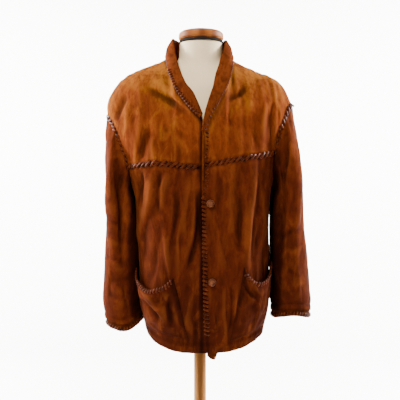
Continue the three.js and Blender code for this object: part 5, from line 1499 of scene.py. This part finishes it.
def lacing_tree():
    """Strands along a path: a bezier thong, evenly spaced, each turned to face out."""
    tree = bpy.data.node_groups.new("lacing", "GeometryNodeTree")
    face = tree.interface
    face.new_socket("Geometry", in_out="INPUT", socket_type="NodeSocketGeometry")
    for name in ("Start", "Start Handle", "End Handle", "End"):
        face.new_socket(name, in_out="INPUT", socket_type="NodeSocketVector")
    for name in ("Strand Width", "Strand Thickness", "Pitch", "Uneven"):
        face.new_socket(name, in_out="INPUT", socket_type="NodeSocketFloat")
    face.new_socket("Seed", in_out="INPUT", socket_type="NodeSocketInt")
    face.new_socket("Leather", in_out="INPUT", socket_type="NodeSocketMaterial")
    face.new_socket("Geometry", in_out="OUTPUT", socket_type="NodeSocketGeometry")
    nodes = Nodes(tree)
    given = nodes.add("NodeGroupInput").outputs

    strand = {key: given[key] for key in ("Start", "Start Handle", "End Handle", "End")}
    strand = nodes.add("GeometryNodeCurvePrimitiveBezierSegment", {"Resolution": 9} | strand)
    level = nodes.add("GeometryNodeSetCurveNormal", {"Curve": strand.outputs[0]}, mode="Z_UP")
    circle = nodes.add("GeometryNodeCurvePrimitiveCircle", {"Resolution": 8, "Radius": 0.5})
    size = {"X": given["Strand Width"], "Y": given["Strand Thickness"], "Z": 1.0}
    size = nodes.add("ShaderNodeCombineXYZ", size).outputs[0]
    flat = nodes.add("GeometryNodeTransform", {"Geometry": circle.outputs[0], "Scale": size})
    inputs = {"Curve": level.outputs[0], "Profile Curve": flat.outputs[0], "Fill Caps": True}
    thong = nodes.add("GeometryNodeCurveToMesh", inputs).outputs[0]

    path = nodes.add("GeometryNodeMeshToCurve", {"Mesh": given["Geometry"]}).outputs[0]
    long = nodes.add("GeometryNodeCurveLength", {"Curve": path}).outputs[0]
    ratio = nodes.add("ShaderNodeMath", {0: long, 1: given["Pitch"]}, operation="DIVIDE")
    count = nodes.add("ShaderNodeMath", {0: ratio.outputs[0]}, operation="ROUND").outputs[0]
    places = nodes.add("GeometryNodeCurveToPoints", {"Curve": path, "Count": count}, mode="COUNT")
    out = nodes.add("GeometryNodeInputNamedAttribute", {"Name": "out"}, data_type="FLOAT_VECTOR")
    inputs = {"Vector": out.outputs[0]}
    upright = nodes.add("FunctionNodeAlignRotationToVector", inputs, axis="Z").outputs[0]
    inputs = {"Rotation": upright, "Vector": places.outputs["Tangent"]}
    turned_on = nodes.add("FunctionNodeAlignRotationToVector", inputs, axis="X", pivot_axis="Z")
    less = nodes.add("ShaderNodeMath", {0: given["Uneven"], 1: -1.0}, operation="MULTIPLY").outputs[0]
    inputs = {2: less, 3: given["Uneven"], "Seed": given["Seed"]}
    jitter = nodes.add("FunctionNodeRandomValue", inputs, data_type="FLOAT").outputs[1]
    tilt = nodes.add("ShaderNodeCombineXYZ", {"Z": jitter}).outputs[0]
    tilt = nodes.add("FunctionNodeEulerToRotation", {0: tilt}).outputs[0]
    inputs = {"Rotation": turned_on.outputs[0], "Rotate By": tilt}
    facing_out = nodes.add("FunctionNodeRotateRotation", inputs, rotation_space="LOCAL").outputs[0]
    grown = nodes.add("ShaderNodeMath", {0: jitter, 1: 1.0}, operation="ADD").outputs[0]
    inputs = {"Points": places.outputs[0], "Instance": thong, "Rotation": facing_out, "Scale": grown}
    strands = nodes.add("GeometryNodeInstanceOnPoints", inputs).outputs[0]
    made = nodes.add("GeometryNodeRealizeInstances", {"Geometry": strands}).outputs[0]
    made = nodes.add("GeometryNodeSetShadeSmooth", {"Geometry": made}).outputs[0]
    made = nodes.add("GeometryNodeSetMaterial", {"Geometry": made, "Material": given["Leather"]})
    nodes.add("NodeGroupOutput", {"Geometry": made.outputs[0]})
    return tree


LACING = lacing_tree()
lace_leather = leather("lace_leather", LACE_LEATHER)


def laced(name, points, outs, stitch, seed, closed=False):
    """A plain mesh of one row of stitches along a path."""
    count = len(points)
    edges = [(i, i + 1) for i in range(count - 1)] + ([(count - 1, 0)] if closed else [])
    path = bpy.data.meshes.new(name)
    path.from_pydata((points * MM).tolist(), edges, [])
    out = path.attributes.new("out", "FLOAT_VECTOR", "POINT")
    out.data.foreach_set("vector", outs.astype(np.float32).ravel())
    holder = bpy.data.objects.new(name + "_path", path)
    bpy.context.scene.collection.objects.link(holder)
    modifier = holder.modifiers.new("lacing", "NODES")
    modifier.node_group = LACING
    handles = zip(("Start", "Start Handle", "End Handle", "End"), stitch[:4])
    values = {key: [v * MM for v in value] for key, value in handles}
    values |= {"Strand Width": stitch.wide * MM, "Strand Thickness": stitch.thick * MM}
    values |= {"Pitch": stitch.pitch * MM, "Uneven": STRAND_UNEVEN}
    values |= {"Seed": seed, "Leather": lace_leather}
    for socket in LACING.interface.items_tree:
        if socket.in_out == "INPUT" and socket.name in values:
            modifier[socket.identifier] = values[socket.name]
    shown = holder.evaluated_get(bpy.context.evaluated_depsgraph_get())
    mesh = bpy.data.meshes.new_from_object(shown)
    bpy.data.objects.remove(holder)
    return mesh


def lace(node, rows):
    """All the stitches of one seam or edge as one piece."""
    made = bmesh.new()
    for number, row in enumerate(rows):
        mesh = laced(f"{node}_{number}", *row)
        made.from_mesh(mesh)
        bpy.data.meshes.remove(mesh)
    mesh = bpy.data.meshes.new(f"thong_{node}")
    made.to_mesh(mesh)
    made.free()
    mesh.shade_smooth()
    mesh.materials.clear()
    mesh.materials.append(lace_leather)
    thong = bpy.data.objects.new(f"thong_{node}", mesh)
    bpy.context.scene.collection.objects.link(thong)
    fixed(thong, node)


def even_path(points, outs, lift, closed=False):
    """Points at even distances along a path, raised a little, and the way out there."""
    if closed:
        points = np.concatenate([points, points[:1]])
        outs = np.concatenate([outs, outs[:1]])
    far = np.append(0, np.cumsum(np.linalg.norm(np.diff(points, axis=0), axis=1)))
    count = max(4, round(far[-1] / PATH_STEP))
    at = np.linspace(0, far[-1], count + 1)
    if closed:
        at = at[:-1]
    points = np.stack([np.interp(at, far, points[:, axis]) for axis in range(3)], 1)
    outs = np.stack([np.interp(at, far, outs[:, axis]) for axis in range(3)], 1)
    outs /= length_of(outs)
    return points + outs * lift, outs


def seam_rows(points, outs, seed):
    """A seam's two rows: the strands that show, over others that cross them."""
    path = even_path(points, outs, SEAM_LIFT)
    return [(*path, SEAM_CROSS, seed), (*path, SEAM_STITCH, seed + 1)]


SEAM_ENDS = {"corner": 0.7, "right": 1.4, "left": 1.6, "armhole": 0.6}


def part_of_row(grid, row, first, last):
    at = slice(round(first * FINE), round(last * FINE) + 1)
    return grid["points"][row, at], grid["normals"][row, at]


for number, side in enumerate(SIDES):
    ends = part_of_row(yoke[side], 0, SEAM_ENDS[side], FRONT_COLUMNS - SEAM_ENDS["corner"])
    lace(f"lace_front_yoke_{side}", seam_rows(*ends, LACE_SEEDS["front_yoke"] + 2 * number))
    short = round(SEAM_ENDS["armhole"] * FINE)
    back_column = 0 if side == "left" else -1
    over, out = (
        np.concatenate([yoke[side][layer][short:, -1], yoke["back"][layer][::-1, back_column][1:-short]])
        for layer in ("points", "normals")
    )
    lace(f"lace_armhole_{side}", seam_rows(over, out, LACE_SEEDS["armhole"] + 2 * number))
ends = part_of_row(yoke["back"], 0, SEAM_ENDS["corner"], 2 * HALF_BACK - SEAM_ENDS["corner"])
lace("lace_back_yoke", seam_rows(*ends, LACE_SEEDS["back_yoke"]))

# Beside the left front's edge down to where it turns, and then over the edge.
EDGE_LACE = {"beside": 12.8, "over": 5.8, "turns_at": (1172, 1140), "top": 1304, "foot": 782}
EDGE_PLACES = 130
ROWS_OVERLAP = 4
z = np.linspace(EDGE_LACE["top"], EDGE_LACE["foot"], EDGE_PLACES)
above, below = EDGE_LACE["turns_at"]
away = mix(EDGE_LACE["over"], EDGE_LACE["beside"], eased((z - below) / (above - below)))
points, outs = on_front("left", edge_x(z) + away, z)
beside = z > below - ROWS_OVERLAP
seed = LACE_SEEDS["front_edge"]
rows = [(*even_path(points[beside], outs[beside], SEAM_LIFT), SMALL_STITCH, seed)]
rows.append((*even_path(points[~beside], outs[~beside], SEAM_LIFT), EDGE_STITCH, seed + 1))
lace("lace_front_edge", rows)

# Stretches of the collar's edge, in sections of the collar, and how far in the stitches lie.
Stretch = namedtuple("Stretch", "first last inset lift stitch")
COLLAR_LACE = [
    Stretch(0.25, 3.4, 3.6, 0.9, MOUTH_STITCH),
    Stretch(3.5, 12.8, 2.0, 0.4, FINE_STITCH),
    Stretch(12.9, 14.8, 4.0, 0.8, SMALL_STITCH),
]
rows = []
for number, stretch in enumerate(COLLAR_LACE):
    kept = (collar_rows >= stretch.first) & (collar_rows <= stretch.last)
    free = collar["points"][kept, -1]
    inwards = collar["points"][kept, -3] - free
    free = free + inwards / length_of(inwards) * stretch.inset
    path = even_path(free, -collar["normals"][kept, -2], stretch.lift)
    rows.append((*path, stretch.stitch, LACE_SEEDS["collar"] + number))
lace("lace_collar", rows)

POCKET_LACE = {"from": 0.04, "to": 0.96, "down": 0.02, "places": 60}
for number, side in enumerate(SIDES):
    grid = pocket[side]
    across = np.linspace(POCKET_LACE["from"], POCKET_LACE["to"], POCKET_LACE["places"]) * POCKET_COLUMNS
    row = np.full_like(across, POCKET_LACE["down"] * POCKET_ROWS)
    points, outs = sample(grid["points"], across, row), sample(grid["normals"], across, row)
    path = even_path(points, outs, EDGE_LIFT)
    lace(f"lace_pocket_{side}", [(*path, MOUTH_STITCH, LACE_SEEDS["pocket"] + number)])
    band = cuff[side]
    at = round(CUFF["laced_at"] * CUFF["rows"])
    path = even_path(band["points"][at], band["normals"][at], EDGE_LIFT, closed=True)
    lace(f"lace_cuff_{side}", [(*path, MOUTH_STITCH, LACE_SEEDS["cuff"] + number, True)])

# ------------------------------------------------------------ the floor and the light
# A plain pale floor and wall in one sweep. A soft key light stands in front and above, with
# a weaker one in front at each side, and two more light the sweep. All sizes in metres.

FLOOR = {"wide": 12.0, "front": -4.5, "back": 3.4, "turn": 1.4, "high": 6.0}
FLOOR_TONES = {"pale": (0.90, 0.895, 0.885), "darker": (0.885, 0.88, 0.87)}
FLOOR_LAYERS = [Layer("patches", 0.3, 0.7, 1.0, "pale")]
SWEEP_STEPS = 13
WORLD = {"tone": (1.0, 0.99, 0.98, 1.0), "strength": 0.22}
Light = namedtuple("Light", "name place aim size power tone")
LIGHTS = [
    Light("key", (-1.0, -2.1, 3.9), (0, 0, 1.25), 1.0, 215, (1.0, 0.975, 0.94)),
    Light("side", (-3.2, -1.9, 1.7), (0, 0, 1.1), 0.8, 26, (1.0, 0.98, 0.96)),
    Light("fill", (2.4, -3.4, 1.4), (0, 0, 1.0), 2.4, 24, (1.0, 0.98, 0.96)),
    Light("backdrop_left", (3.2, 1.0, 2.6), (0.6, 4.8, 1.0), 1.6, 1750, (1.0, 1.0, 1.0)),
    Light("backdrop_right", (-3.2, 1.0, 2.6), (-0.6, 4.8, 1.0), 1.6, 1750, (1.0, 1.0, 1.0)),
]
CAMERA = {"place": (0, -2.0, 1.130), "lens": 64.29, "sensor": 36}

turns = np.radians(np.linspace(0, 90, SWEEP_STEPS))
sweep = [(FLOOR["front"], 0.0)]
sweep += [(FLOOR["back"] + FLOOR["turn"] * math.sin(t), FLOOR["turn"] * (1 - math.cos(t))) for t in turns]
sweep.append((FLOOR["back"] + FLOOR["turn"], FLOOR["high"]))
half = FLOOR["wide"] / 2
floor_points = [(x / MM, y / MM, z / MM) for y, z in sweep for x in (-half, half)]
floor_faces = [(2 * i, 2 * i + 1, 2 * i + 3, 2 * i + 2) for i in range(len(sweep) - 1)]
floor_material, floor_nodes, floor_shader, floor_place = new_material("pale_floor")
floor_patches = {"patches": floor_nodes.noise(floor_place, scale=0.6)}
floor_tone = floor_nodes.layered("darker", FLOOR_LAYERS, floor_patches, FLOOR_TONES)
floor_nodes.tree.links.new(floor_tone, floor_shader.inputs["Base Color"])
floor_shader.inputs["Roughness"].default_value = 0.95
floor_shader.inputs["Specular IOR Level"].default_value = 0.1
floor = piece("floor", floor_points, floor_faces, floor_material)
floor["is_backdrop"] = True

for light in LIGHTS:
    data = bpy.data.lights.new(light.name, "AREA")
    data.shape = "DISK"
    data.size = light.size
    data.energy = light.power
    data.color = light.tone
    lamp = bpy.data.objects.new(light.name, data)
    lamp.location = light.place
    lamp.rotation_euler = (Vector(light.aim) - Vector(light.place)).to_track_quat("-Z", "Y").to_euler()
    bpy.context.scene.collection.objects.link(lamp)

world = bpy.data.worlds.new("studio")
world.use_nodes = True
world.node_tree.nodes["Background"].inputs["Color"].default_value = WORLD["tone"]
world.node_tree.nodes["Background"].inputs["Strength"].default_value = WORLD["strength"]
bpy.context.scene.world = world

camera = bpy.data.objects.new("camera", bpy.data.cameras.new("camera"))
camera.data.sensor_width = CAMERA["sensor"]
camera.data.lens = CAMERA["lens"]
camera.location = CAMERA["place"]
camera.rotation_euler = (math.pi / 2, 0, 0)
bpy.context.scene.collection.objects.link(camera)
bpy.context.scene.camera = camera

low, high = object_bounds()
sizes = {"cad": [list(cad_low), list(cad_high)], "scene": [list(low), list(high)]}
